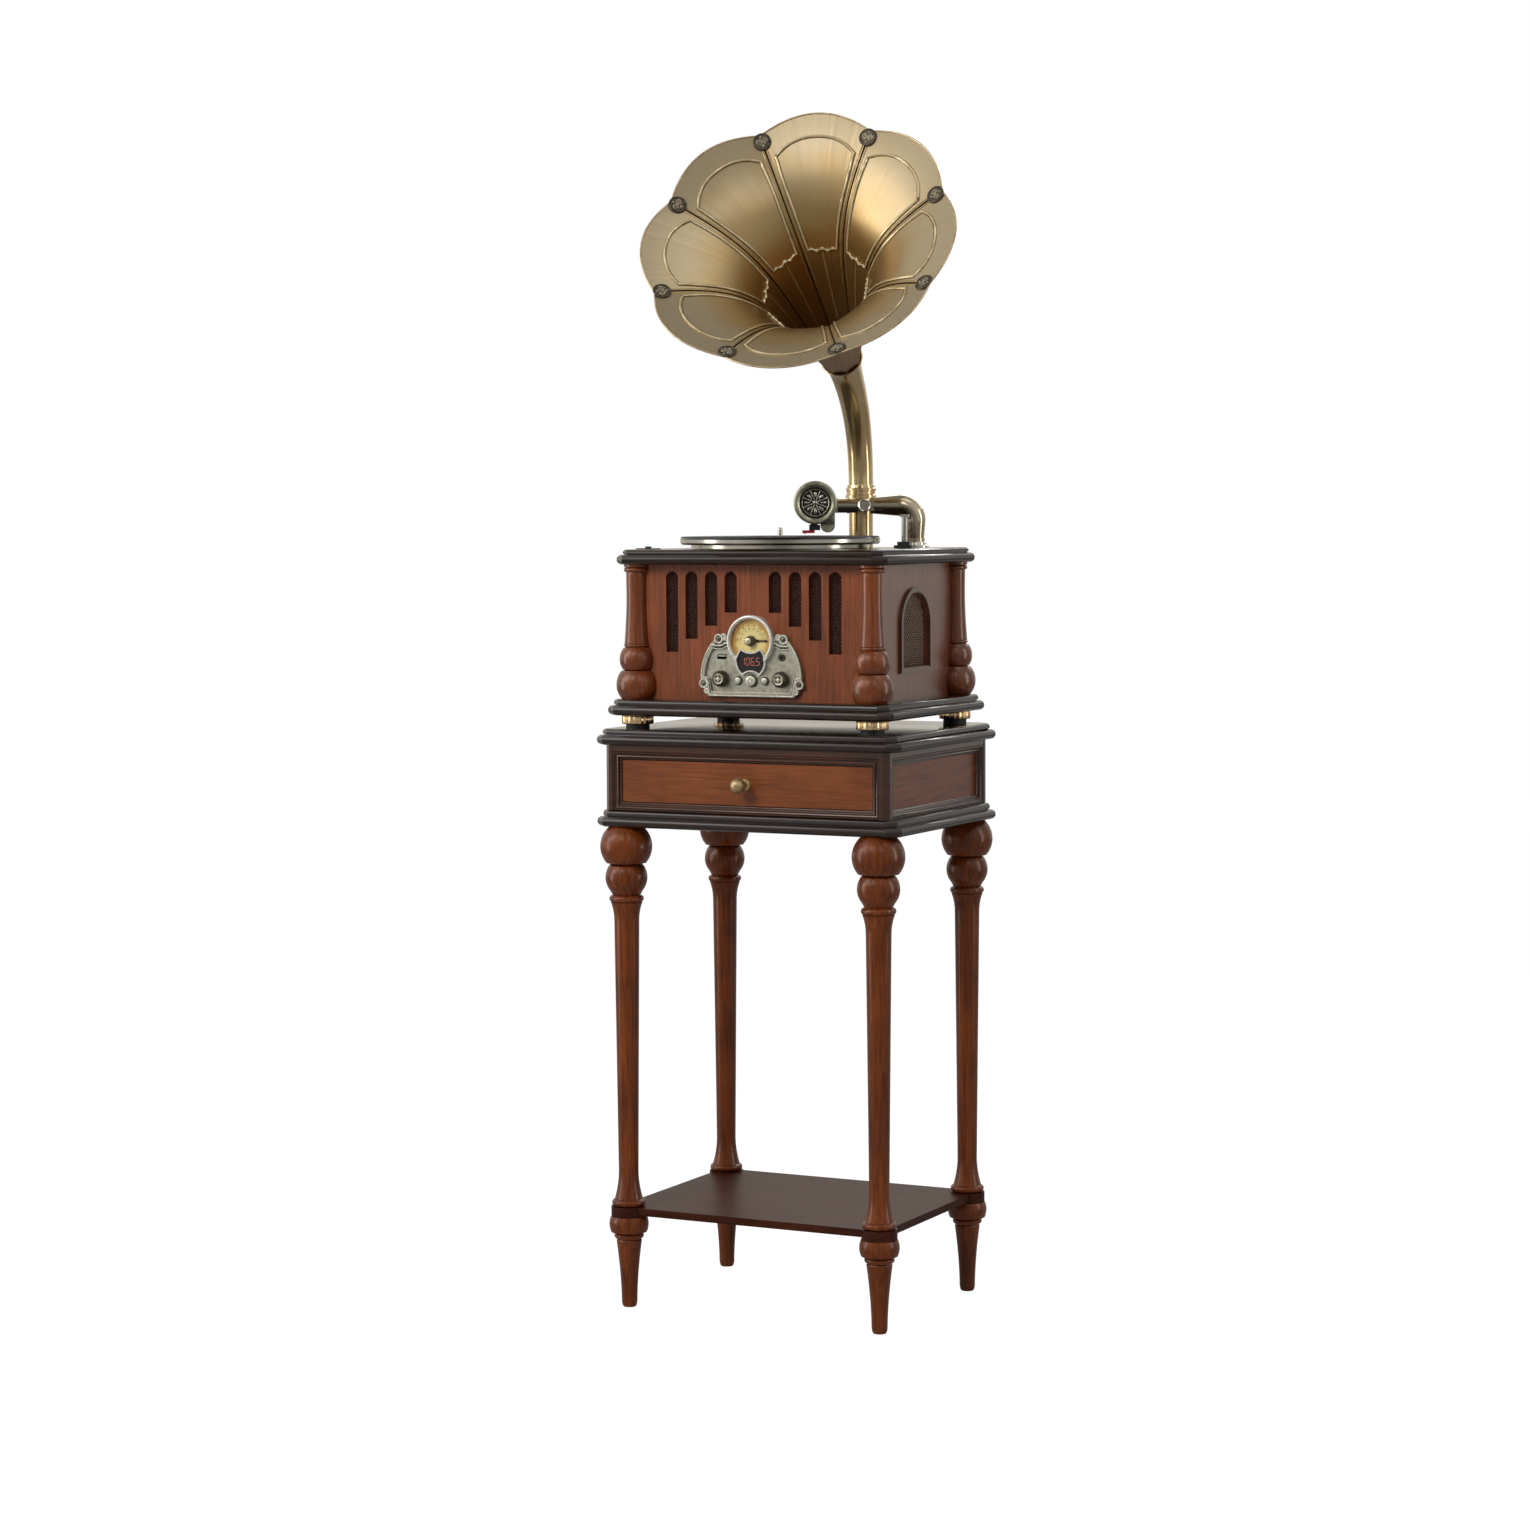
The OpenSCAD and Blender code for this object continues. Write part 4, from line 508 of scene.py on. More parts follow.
class RP_OT_wood(bpy.types.Operator):
    """Finishes of the turned wood, the panels, the mouldings and the lacquered boards"""

    bl_idname = "record_player.wood"
    bl_label = "Wood and Boards"

    def execute(self, context):
        look = settings()
        upright, level = (1, 1, 0.05), (0.05, 0.05, 1)
        stain = look.wood_light, look.wood_dark
        # Name, stretch of the grain, light and dark tone, gloss with pitting and shine, solids;
        # the turned wood's tones are deeper than the panels'
        for name, grain, tones, surface, solids in (
                ("turned_walnut", upright, stain, (0.25, 0.6, 0.8),
                 "leg_front_left leg_front_right leg_back_left leg_back_right"),
                ("polished_turned_walnut", upright, stain, (0.26, 0.6, 1.4), "columns"),
                ("veneered_walnut", upright, ("#985030", "#66351E"), (0.38,),
                 "front_panel rear_panel"),
                # The side panels take greyer tones than the front: painted sheen, over their real
                # extra gloss
                ("glossy_side_walnut_painted_sheen", upright, ("#8C4F34", "#5E3422"), (0.34, 0.5, 2.2),
                 "side_panels"),
                ("cross_grain_walnut", level, ("#955029", "#683418"), (0.36,),
                 "drawer_front bay_panels"),
                ("moulded_walnut", level, ("#4C2416", "#2A120A"), (0.2, 0.5, 1.6),
                 "bay_mouldings bay_frame"),
                ("window_frame_walnut", upright, ("#774432", "#46281C"), (0.24, 0.5, 1.8),
                 "window_frames"),
                ("shelf_walnut", (0.05, 1, 1), ("#542B1D", "#32170E"), (0.4, 0.5, 0.2), "shelf"),
                ("plain_beech", (1, 0.05, 1), ("#C59A6C", "#9A6C42"), (0.5,),
                 "drawer_box drawer_runners")):
            keep(walnut(name, grain, *tones, *surface), *solids.split())
        worn = "#32241C"
        keep(lacquer("board_lacquer", look.board, worn), "stand_bottom_board",
             "stand_top_board", "base_board")
        keep(lacquer("deck_lacquer", look.board, worn, 0.26), "deck_board")
        return {"FINISHED"}


# Solids, name, light and dark tone, roughness, patches, bump, its scale, metallic
METALS = (
    ("drawer_knob", "hammered_bronze", "#D0B88C", "#94794F", 0.34, 90.0, 0.5, 260.0, 0.7),
    ("control_plate", "cast_pewter", "#B5B19E", "#8B8774", 0.42, 160.0, 0.55, 900.0, 0.55),
    ("button_left button_middle button_right", "pewter_buttons", "#E2DECC", "#8E8A78", 0.26,
     220.0, 0.3, 900.0, 0.7),
    ("plate_screws", "dark_screws", "#7C7767", "#3E3A30", 0.36, 200.0),
    ("dial_bezel", "polished_bezel", "#F2EFE8", "#CFCABD", 0.2, 40.0, 0.0, 300.0, 0.55),
    ("arm_post", "bronzed_nickel", "#C2B59A", "#9A8C74", 0.16, 18.0),
    ("arm_tube", "polished_nickel", "#C4BDAC", "#9C937F", 0.14, 18.0),
    ("arm_pin spindle arm_base", "bright_nickel", "#DAD6CB", "#B5AE9F", 0.1, 30.0),
    ("horn_pipe", "pipe_brass", "#D6BD90", "#AF9364", 0.18, 16.0, 0.0, 300.0, 0.88),
    ("usb_socket", "blackened_steel", "#2C2A27", "#171614", 0.34, 100.0, 0.0, 300.0, 0.5),
    ("sound_jack", "blackened_jack", "#4A4538", "#211E18", 0.34, 200.0, 0.3, 900.0, 0.6))
# Solids, name, colour, roughness, grain, bump
PLASTICS = (
    ("foot_pads", "black_rubber", "#151414", 0.6),
    ("rear_sockets", "socket_plastic", "#1B1A19", 0.4),
    ("display_window", "black_acrylic", "#120D0E", 0.12, 400.0, 0.02),
    ("speed_plate speed_lever cartridge", "matte_black_plastic", "#161617", 0.42),
    ("stylus", "red_stylus_plastic", "#A31D2C", 0.28),
    ("circuit_board", "green_circuit_board", "#1F4A2C", 0.45),
    ("turntable_motor speakers", "grey_motor_paint", "#45484C", 0.45))


class RP_OT_fittings(bpy.types.Operator):
    """Finishes of the metal, rubber and plastic solids that keep their shape"""

    bl_idname = "record_player.fittings"
    bl_label = "Metal and Plastic Fittings"

    def execute(self, context):
        for make, rows in ((metal, METALS), (plain, PLASTICS)):
            for solids, *values in rows:
                keep(make(*values), *solids.split())
        # A black moulded foot with a bright post, and a metal platter with a blackened top edge
        keep(two_tone("arm_rest_finish", 1.1062, "#161617", "#A5A196", 0.25, 1.0), "arm_rest")
        keep(two_tone("turned_platter_edge", 1.1108, "#BDB8A8", "#161513", 0.2, 0.0), "platter")
        return {"FINISHED"}


def margin(v, gap):
    """Turn at which a line runs gap millimetres beside the seam."""
    return gap / (2 * flare(depth_at(v)) * math.sin(math.pi / PETALS))


def arch_path(turn):
    """Outline of the raised arch on one petal, from its low left corner round to the right."""
    side = [(v, margin(v, 8.8 + 2.0 * max(0.0, (v - 0.75) / 0.12) ** 2))
            for v in spread(0.495, 0.872, 24)]
    half, top, drop = 0.84, 0.917, 0.033
    crown = [(top - drop * (abs(u) / half) ** 2.8, 0.5 + u / 2) for u in spread(-half, half, 40)]
    points = side + crown + [(v, 1 - t) for v, t in reversed(side)]
    return [horn_point(v, turn + t, 0.4) for v, t in points]


def horn_brass(look):
    """Spun and pressed brass sheet, brushed: light at the rim and brown inside, where painted shade
    darkens it towards the throat.
    """
    brass, tree, shader, place = new_finish("horn_brass_with_painted_shade", Metallic=0.7)
    way = tuple(AXIS.normalized())
    away = node(tree, "VectorMath", place, tuple(BELL.translation * MM), operation="SUBTRACT")
    depth = node(tree, "VectorMath", away, way, operation="DOT_PRODUCT")
    cloud = node(tree, "TexNoise", place, Scale=16.0, Detail=4.0)
    shift = node(tree, "Math", cloud, 0.08, depth, operation="MULTIPLY_ADD")
    span = node(tree, "MapRange", shift, From_Min=0.035, From_Max=0.305)
    # Painted shade: the brass darkens towards the throat, deep in the horn where shade falls
    tone = node(tree, "ValToRGB", span,
                stops=[(0.0, "#7C5A30"), (0.25, look.horn_deep_shade), (0.5, "#9A743F"),
                       (0.68, "#A4804B"), (0.86, "#AC9264"), (1.0, look.horn_rim)])
    # Soft streaks run from throat to rim, as hand brushing leaves them
    shaft = node(tree, "VectorMath", way, Scale=depth, operation="SCALE")
    out = node(tree, "VectorMath", away, shaft, operation="SUBTRACT")
    spoke = node(tree, "VectorMath", out, operation="NORMALIZE")
    brushed = node(tree, "TexNoise", spoke, Scale=34.0, Detail=3.0)
    streak = node(tree, "ValToRGB", brushed, stops=[(0.3, 0.88), (0.65, 1.0)])
    shade = node(tree, "Mix", Factor=0.5, A=tone, B=streak, data_type="RGBA",
                 blend_type="MULTIPLY")
    rough = node(tree, "MapRange", brushed, From_Min=0.3, From_Max=0.7, To_Min=0.33, To_Max=0.27)
    feed(shader, {"Base Color": shade, "Roughness": rough})
    return brass


class RP_OT_horn(bpy.types.Operator):
    """The flower horn: its petals, rolled rim, seams, raised arches, brackets and ribs"""

    bl_idname = "record_player.horn"
    bl_label = "Horn"

    def execute(self, context):
        look = settings()
        mesh = bmesh.new()
        bmesh.ops.create_grid(mesh, x_segments=look.horn_steps * PETALS, y_segments=64, size=1.0)
        for vert in mesh.verts:
            v, turn = (vert.co.y + 1) / 2, (vert.co.x + 1) / 2 * PETALS
            vert.co = horn_point(v, turn if turn < PETALS - 1e-6 else 0.0)
        bmesh.ops.remove_doubles(mesh, verts=mesh.verts, dist=1e-3)
        bmesh.ops.recalc_face_normals(mesh, faces=mesh.faces)
        bmesh.ops.scale(mesh, vec=(MM, MM, MM), verts=mesh.verts)
        bmesh.ops.solidify(mesh, geom=mesh.faces[:], thickness=0.0009)
        finish_piece(mesh, "horn_petals", horn_brass(look), "horn", "horn_bell", smooth=28)

        rims, arches, arch_shades, seams, ribs, brackets = [bmesh.new() for _ in range(6)]
        edge = [horn_point(1.0, i / 20) for i in range(20 * PETALS)]
        swept(rims, edge, 1.3, 10, closed=True, side=AXIS)
        for k in range(PETALS):
            path = arch_path(k)
            swept(arches, path, 1.9, 8)
            # Painted shade: a flat dark band, wider than the arch's bead, stands for the shade at
            # its foot
            swept(arch_shades, path, 0.75, 8, flat=3.6, side=AXIS)
            line = [horn_point(v, k, 0.1) for v in spread(0.03, 0.93, 40)]
            swept(seams, line, spread(0.6, 1.3, 40), 6)
            for gap in (-3.6, 3.6):
                fold = [horn_point(v, k + margin(v, gap), -0.3) for v in spread(0.3, 0.93, 30)]
                swept(ribs, fold, spread(0.6, 1.1, 30), 6)
            run = [horn_point(v, k + 0.5, 0.0) for v in spread(0.05, 0.48, 24)]
            thick = [0.9 + 0.6 * t + 1.1 * max(0.0, t - 0.8) for t in spread(0, 1, 24)]
            swept(ribs, run, thick, 6)
            # A wavy cast bracket closes the arch at its foot
            wave, knots = [], []
            for t in spread(-1, 1, 36):
                lump = math.cos(2.5 * math.pi * t)
                wave.append(horn_point(0.494 + 0.0045 * lump, k + 0.5 + 0.35 * t, 1.7))
                knots.append((1.3 + 1.3 * lump * lump) * (1 - 0.35 * t * t))
            swept(brackets, wave, knots, 8)
        for mesh, name, metallic, *values in (
                (rims, "horn_rim", 0.7, "rolled_rim_brass", "#CDB892", "#A08660", 0.26),
                # The arches are lighter brass than the petals: painted highlight on their beads
                (arches, "horn_arches", 0.5, "raised_line_highlight_brass", "#E2D2AC", "#BBA274", 0.26, 60.0),
                (arch_shades, "horn_arch_shade", 1.0, "arch_shade_brass", "#7A5E36", "#55401F", 0.4, 60.0),
                (seams, "horn_seams", 1.0, "seam_shadow_brass", "#33230F", "#1C1107", 0.5, 60.0),
                # The ribs are pale, half metallic brass in the dark throat: painted highlight on
                # their beads
                (ribs, "horn_ribs", 0.4, "rib_highlight_brass", "#C2A26C", "#94744A", 0.3, 60.0),
                (brackets, "horn_brackets", 0.5, "worn_bracket_brass", "#EADBB8", "#B39C70", 0.22,
                 120.0)):
            finish_piece(mesh, name, metal(*values, metallic=metallic), "horn")
        return {"FINISHED"}


class RP_OT_rosettes(bpy.types.Operator):
    """Eight cast rosettes with double scrolls where the seams meet the rim"""

    bl_idname = "record_player.rosettes"
    bl_label = "Rosettes"

    def execute(self, context):
        mesh, scrolls = bmesh.new(), bmesh.new()
        s = HORN_L - 4.6
        steep = math.atan((flare(s + 1) - flare(s - 1)) / 2)
        for k in range(PETALS):
            seat = (BELL @ moved(s, -LEAN * s / HORN_L, 0)
                    @ spun(ROSETTE_TURN - math.pi / 2 + k * 2 * math.pi / PETALS, "X")
                    @ moved(0, 0, flare(s)) @ spun(math.pi - steep, "Y") @ moved(0, 0, 2.8))
            turned(mesh, [(0, 0), (13, 0), (13, 1.0), (12.2, 1.9), (11.2, 1.9), (10.6, 1.1),
                          (0, 1.1)], seat, 40)
            for way in (-1, 1):
                coil = [seat @ Vector((-0.6 + r * math.cos(a), way * (4.9 - r * math.sin(a)), 1.4))
                        for a, r in zip(spread(0, 3.6 * math.pi, 45), spread(4.6, 0.7, 45))]
                swept(scrolls, coil, spread(0.95, 0.65, 45), 6,
                      side=seat.to_3x3() @ Vector((0, 0, 1)))
            for place, r in ((-0.6, 1.0), (6.2, 1.9), (-7.2, 1.7)):
                turned(scrolls, [(0, 0), (r, 0), (r * 0.9, 0.7), (r * 0.5, 1.2), (0, 1.35)],
                       seat @ moved(place, 0, 1.0), 16)
        cast = metal("dark_cast_brass", "#5C5242", "#2A241A", 0.36, 260.0, 0.3, 700.0, 0.6)
        worn = metal("worn_scroll_brass", "#BDB094", "#6F6450", 0.3, 300.0, metallic=0.5)
        finish_piece(mesh, "rosettes", cast, "horn", "horn_rosettes", smooth=50)
        finish_piece(scrolls, "rosette_scrolls", worn, "horn", smooth=50)
        return {"FINISHED"}


class RP_OT_elbow(bpy.types.Operator):
    """Bent horn tube with its open lip around the throat"""

    bl_idname = "record_player.elbow"
    bl_label = "Horn Elbow"

    def execute(self, context):
        out = Vector((math.cos(TILT), 0, math.sin(TILT)))
        mouth, wall, steps, lined_from = Vector((REACH, 0, RISE)), 1.6, 64, 9
        grips = [Vector((0, 0, 0)), Vector((0, 0, 104)), mouth - out * 56, mouth + out * NECK]

        def centre(t):
            u = 1 - t
            return (grips[0] * u ** 3 + grips[1] * 3 * u * u * t + grips[2] * 3 * u * t * t
                    + grips[3] * t ** 3)

        def radius(t):
            return 17.9 + 6.6 * t ** 1.5 + 6.0 * t ** 16

        outer = [(centre(t), radius(t)) for t in spread(0, 1, steps)]
        inner = [(p, r - wall) for p, r in reversed(outer[lined_from:])]
        outer[-1] = (outer[-1][0] - out * 0.6, outer[-1][1])
        mesh = bmesh.new()
        side = SWIVEL.to_3x3() @ Vector((0, 1, 0))
        # Both tubes lose their cap at the mouth, and a lip bridges them there
        for path, end in ((outer, outer[-1][0]), (inner, inner[0][0])):
            swept(mesh, [SWIVEL @ p for p, r in path], [r for p, r in path], 48, side=side)
            for face in [f for f in mesh.faces if len(f.verts) > 4]:
                if (face.calc_center_median() / MM - SWIVEL @ end).length < 5:
                    mesh.faces.remove(face)
        bmesh.ops.bridge_loops(mesh, edges=[e for e in mesh.edges if e.is_boundary])
        brass = metal("polished_elbow_brass", "#D6BA8A", "#AE9060", 0.17, 12.0, metallic=0.85)
        finish_piece(mesh, "elbow_tube", brass, "horn", "horn_elbow")
        return {"FINISHED"}


class RP_OT_foot_rings(bpy.types.Operator):
    """Fluted brass rings under the player case"""

    bl_idname = "record_player.foot_rings"
    bl_label = "Foot Rings"

    def execute(self, context):
        low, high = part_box("foot_rings")
        z0, tall = low.z / MM, (high.z - low.z) / MM
        wide, deep, r, flutes, groove = 186, 142, 23.0, 18, 0.0011
        mesh = bmesh.new()
        for x in (-wide, wide):
            for y in (-deep, deep):
                before = set(mesh.verts)
                turned(mesh, [(0, 0), (r - 1.6, 0), (r - 0.5, 0.5), (r, 1.6), (r, tall - 1.6),
                              (r - 0.5, tall - 0.5), (r - 1.6, tall), (0, tall)],
                       moved(x, y, z0), flutes * 8)
                for vert in [v for v in mesh.verts if v not in before]:
                    out = Vector((vert.co.x - x * MM, vert.co.y - y * MM, 0))
                    if out.length > 0.7 * r * MM:
                        a = math.atan2(out.y, out.x)
                        vert.co -= out.normalized() * groove * math.cos(flutes / 2 * a) ** 2
        brass = metal("polished_brass", "#F4D6A6", "#CFA06A", 0.16, 60.0, metallic=0.9)
        finish_piece(mesh, "fluted_rings", brass, "frame", "foot_rings", smooth=50)
        return {"FINISHED"}


def clip_line(outline, start, way):
    """The stretch of a line inside a convex outline whose corners run anticlockwise."""
    low, high = -1e9, 1e9
    for a, b in zip(outline, outline[1:] + outline[:1]):
        normal = (a[1] - b[1], b[0] - a[0])
        gap = (start[0] - a[0]) * normal[0] + (start[1] - a[1]) * normal[1]
        run = way[0] * normal[0] + way[1] * normal[1]
        if abs(run) < 1e-9:
            if gap < 0:
                return None
        elif run > 0:
            low = max(low, -gap / run)
        else:
            high = min(high, -gap / run)
    return (low, high) if high - low > 0.5 else None


def arched(half, foot, centre):
    """Corners of an arched opening about x = 0, anticlockwise."""
    return [(-half, foot), (half, foot)] + arc(0, centre, half, 0, 180, 16)


def wire_mesh(mesh, outline, matrix, thick, pitch):
    """Crossed wires that fill an arched opening; matrix lays its plane in place."""
    reach = max(abs(p[0]) + abs(p[1]) for p in outline)
    count = int(reach * 1.5 / pitch)
    for slope, level in ((1, 0.0), (-1, thick * 0.7)):
        way = (math.sqrt(0.5), slope * math.sqrt(0.5))
        normal = (-way[1], way[0])
        for i in range(-count, count + 1):
            start = (normal[0] * i * pitch, normal[1] * i * pitch)
            part = clip_line(outline, start, way)
            if not part:
                continue
            a, b = [Vector((start[0] + way[0] * t, start[1] + way[1] * t, level)) for t in part]
            along = ring_matrix((a + b) / 2, b - a, Vector((0, 0, 1)))
            before = set(mesh.verts)
            bmesh.ops.create_cone(mesh, cap_ends=True, segments=4, radius1=thick / 2,
                                  radius2=thick / 2, depth=(b - a).length, matrix=along)
            placed(mesh, before, matrix)


# Height of the case's foot, its front, and where things lie on the front from its middle
CASE_Z, FRONT_Y = 883.0, -142.0
DIAL_Z, KNOB_X, KNOB_Z, BUTTON_Z = 85.5, 47.4, 31.6, 29
SLOT_X, SLOT_STEP, SLOT_HALF, SLOT_TOP, SLOT_LOW, SLOT_FALL = 35, 31.3, 9.75, 183, 125, 19
FRONT = axes((1, 0, 0), (0, 0, 1), (0, -1, 0), (0, FRONT_Y, CASE_Z))
FACING = Vector((0, 1, 0))
BOTH_SIDES = ((-1, "left"), (1, "right"))


class RP_OT_grilles(bpy.types.Operator):
    """Wire mesh in the slots of the front and in the side windows"""

    bl_idname = "record_player.grilles"
    bl_label = "Grilles"

    def execute(self, context):
        look = settings()
        thick, pitch = look.wire / MM, look.pitch / MM
        keep(plain("black_speaker_cloth", "#070606", 0.9, 1500.0, 0.3), "front_grille",
             "window_grilles")
        # Painted shade: the slot wire is a darker copy of the window wire, for the shade in the
        # recessed slots
        wire = metal("slot_wire_painted_shade", "#80574A", "#4A3026", 0.42, 300.0, metallic=0.4)
        middle, plane = 100, -134.6
        for side, label in BOTH_SIDES:
            mesh = bmesh.new()
            for i in range(4):
                outline = arched(SLOT_HALF, SLOT_LOW - SLOT_FALL * i - middle,
                                 SLOT_TOP - SLOT_HALF - middle)
                lay = axes((1, 0, 0), (0, 0, 1), (0, 1, 0),
                           (side * (SLOT_X + SLOT_STEP * i), plane, CASE_Z + middle))
                wire_mesh(mesh, outline, lay, thick, pitch)
            finish_piece(mesh, "slot_mesh_" + label, wire, "frame", smooth=60)
        # Painted light: the window wire is a paler copy of the slot wire, for the light on the
        # case's side
        pale = metal("window_wire_painted_light", "#B49A84", "#7C6450", 0.4, 300.0, metallic=0.4)
        middle, half, foot, spring, plane = 90, 44.9, 46, 106.5, 179.0
        for side, label in BOTH_SIDES:
            mesh = bmesh.new()
            outline = arched(half, foot - middle, spring - middle)
            lay = axes((0, 1, 0), (0, 0, 1), (side, 0, 0), (side * plane, 0, CASE_Z + middle))
            wire_mesh(mesh, outline, lay, 1.3 * thick, 1.3 * pitch)
            finish_piece(mesh, "window_mesh_" + label, pale, "frame", smooth=60)
        return {"FINISHED"}


def on_front(x, z, out=0.0):
    """A frame whose Z points to the front, at x and height z over the foot, out from the case."""
    return FRONT @ moved(x, z, out)


def front_line(points, out):
    """Points of the front at one distance out from the case."""
    return [on_front(x, z, out).translation for x, z in points]


def plate_outline(inset):
    """Right half of the control plate's outline, from the middle of its foot to its top."""
    foot, r, centre, narrow = 6.5 + inset, 80 - inset, 32, inset * 0.6
    last = math.asin((81 - inset - centre) / r)
    return ([(17.0 * i, foot) for i in range(4)]
            + [(66.5 - narrow, foot), (67 - narrow, 14), (68.2 - narrow, 20), (68.6 - narrow, 26),
               (71.5 - inset * 0.8, 31.4 + inset * 0.2)]
            + arc(0, centre, r, math.degrees(0.035), math.degrees(last), 12)
            + [(56 - inset * 0.5, 79.5 - inset), (46, 79.8 - inset), (40, 83 - inset),
               (33, 84.5 - inset)])


class RP_OT_controls(bpy.types.Operator):
    """Trim of the control plate, its knobs with patterned faces, and the socket's tongue"""

    bl_idname = "record_player.controls"
    bl_label = "Controls"

    def execute(self, context):
        trim, coves = bmesh.new(), bmesh.new()
        # Painted shade: the dark strip just inside the plate's raised rim stands for the shade in
        # its cove
        for mesh, inset, out, thick in ((trim, 1.2, 7.0, 1.25), (coves, 3.9, 5.0, 1.5),
                                        (trim, 6.0, 6.3, 0.7)):
            half = plate_outline(inset)
            line = front_line([(-x, z) for x, z in reversed(half[1:])] + half, out)
            swept(mesh, line, thick, 8, side=FACING)
        studs = ((70.5, 14), (43, 91))
        for side in (-1, 1):
            for x, z, r in ((75.5, 24.5, 5.9), (51, 88, 5.9), *[(*stud, 3.4) for stud in studs]):
                ring = front_line(arc(side * x, z, r, 0, 360, 24)[:-1], 6.6)
                swept(trim, ring, 1.3, 8, closed=True, side=FACING)
            for x, z in studs:
                turned(trim, [(0, 0), (1.5, 0), (1.1, 0.9), (0, 1.3)],
                       on_front(side * x, z, 6.4), 16)
        # A dark ring of painted shade runs round each button, where its gap lies
        for x, r in ((-21, 5.6), (0, 8.3), (21, 5.6)):
            ring = front_line(arc(x, BUTTON_Z, r, 0, 360, 32)[:-1], 4.3)
            swept(coves, ring, 0.75, 6, closed=True, side=FACING)
        # The trim is paler than the plate: rubbed pewter, and painted highlight on its raised edges
        pewter = metal("worn_pewter_trim_with_highlight", "#E4E0CE", "#B4AF9B", 0.34, 180.0, 0.2, 900.0, 0.4)
        finish_piece(trim, "plate_trim", pewter, "frame", smooth=50)
        cove = metal("cove_shade_pewter", "#5C584A", "#2E2B22", 0.5, 180.0, metallic=0.4)
        finish_piece(coves, "plate_cove_shade", cove, "frame", smooth=50)

        mesh = bmesh.new()
        block(mesh, (-5.6, 0.3, 3.3), (5.6, 1.9, 3.65), on_front(-KNOB_X, 62.5), 0.1)
        finish_piece(mesh, "usb_tongue", plain("pale_socket_plastic", "#CFCBBD", 0.4), "frame")

        mesh = bmesh.new()
        bow = front_line(arc(0, DIAL_Z, 33.9, -38, 218, 80), 10.2)
        swept(mesh, bow, 2.3, 12, side=FACING)
        bezel = metal("rolled_bezel", "#F4F1EA", "#CBC6B9", 0.2, 60.0, metallic=0.6)
        finish_piece(mesh, "bezel_ring", bezel, "frame", smooth=60)

        dark = metal("ribbed_knob_brass", "#6A6250", "#383226", 0.34, 200.0, metallic=0.7)
        face = metal("patterned_knob_face", "#DCD6BE", "#8A836A", 0.28, 300.0, 0.3, 1400.0, 0.6)
        for name, body, x in (("mode_knob", "mode", -KNOB_X), ("volume_knob", "volume", KNOB_X)):
            mesh = bmesh.new()
            seat = on_front(x, KNOB_Z, 4.3)
            turned(mesh, [(0, -21), (3, -21), (3, 0), (11.5, 0), (11.5, 2), (10.7, 2.6),
                          (10.2, 10.2), (9.2, 11.8), (8.0, 12.4), (7.4, 11.6), (0, 11.6)], seat, 96)
            blocks_round(mesh, 24, (10.0, -0.55, 2.8), (11.2, 0.55, 9.6), seat, 0.2)
            finish_piece(mesh, name + "_body", dark, body, name)
            mesh = bmesh.new()
            turned(mesh, [(5.7, 11.5), (7.5, 11.5), (7.5, 12.0), (6.9, 12.45), (6.2, 12.3),
                          (5.7, 11.9), (5.7, 11.5)], seat, 48)
            turned(mesh, [(0, 11.5), (2.5, 11.5), (2.5, 12.3), (1.9, 12.6), (0, 12.7)], seat, 32)
            blocks_round(mesh, 4, (1.6, -0.6, 11.8), (7.2, 0.6, 12.45), seat, 0.15)
            finish_piece(mesh, name + "_face", face, body)

        mesh = bmesh.new()
        seat = on_front(0, DIAL_Z, 5.3)
        turned(mesh, [(0, -24), (3, -24), (3, 0), (7.5, 0), (7.5, 3), (6.3, 3.8), (6.1, 9.6),
                      (5.6, 10.4), (4.9, 10.4), (4.9, 10.0), (0, 10.0)], seat, 64)
        finish_piece(mesh, "tuning_body", dark, "tuner", "tuning_knob")
        mesh = bmesh.new()
        turned(mesh, [(0, 9.9), (4.7, 9.9), (4.7, 11.0), (4.2, 11.4), (0, 11.5)], seat, 40)
        for rib in (-0.5, 0.5):
            block(mesh, (-4.0, rib - 0.2, 11.3), (4.0, rib + 0.2, 11.8), seat)
        cap = metal("bright_cap", "#E0D6BC", "#A0947A", 0.3, 400.0, metallic=0.5)
        finish_piece(mesh, "tuning_cap", cap, "tuner")
        mesh = bmesh.new()
        before = set(mesh.verts)
        side = [(5, 2.6), (11, 2.0), (14, 1.1), (21, 0.9), (22.5, 1.9), (26.5, 0.3)]
        corners = [(x, -y) for x, y in side] + side[::-1]
        blade = mesh.faces.new([mesh.verts.new((x, y, 0.2)) for x, y in corners])
        out = bmesh.ops.extrude_face_region(mesh, geom=[blade])["geom"]
        bmesh.ops.translate(mesh, vec=(0, 0, 0.7),
                            verts=[g for g in out if isinstance(g, bmesh.types.BMVert)])
        placed(mesh, before, seat)
        finish_piece(mesh, "tuning_pointer", plain("dark_pointer_enamel", "#3A2212", 0.4), "tuner")
        return {"FINISHED"}


def figure(mesh, text, size, matrix):
    """Adds the flat letters of a text, thickened a little, to a mesh."""
    curve = bpy.data.curves.new("figure", "FONT")
    curve.body, curve.size = text, size
    curve.align_x, curve.align_y = "CENTER", "CENTER"
    curve.extrude = 0.05
    thing = bpy.data.objects.new("figure", curve)
    bpy.context.scene.collection.objects.link(thing)
    bpy.context.view_layer.update()
    flat = bpy.data.meshes.new_from_object(thing)
    bpy.data.objects.remove(thing)
    before = set(mesh.verts)
    mesh.from_mesh(flat)
    bpy.data.meshes.remove(flat)
    placed(mesh, before, matrix)


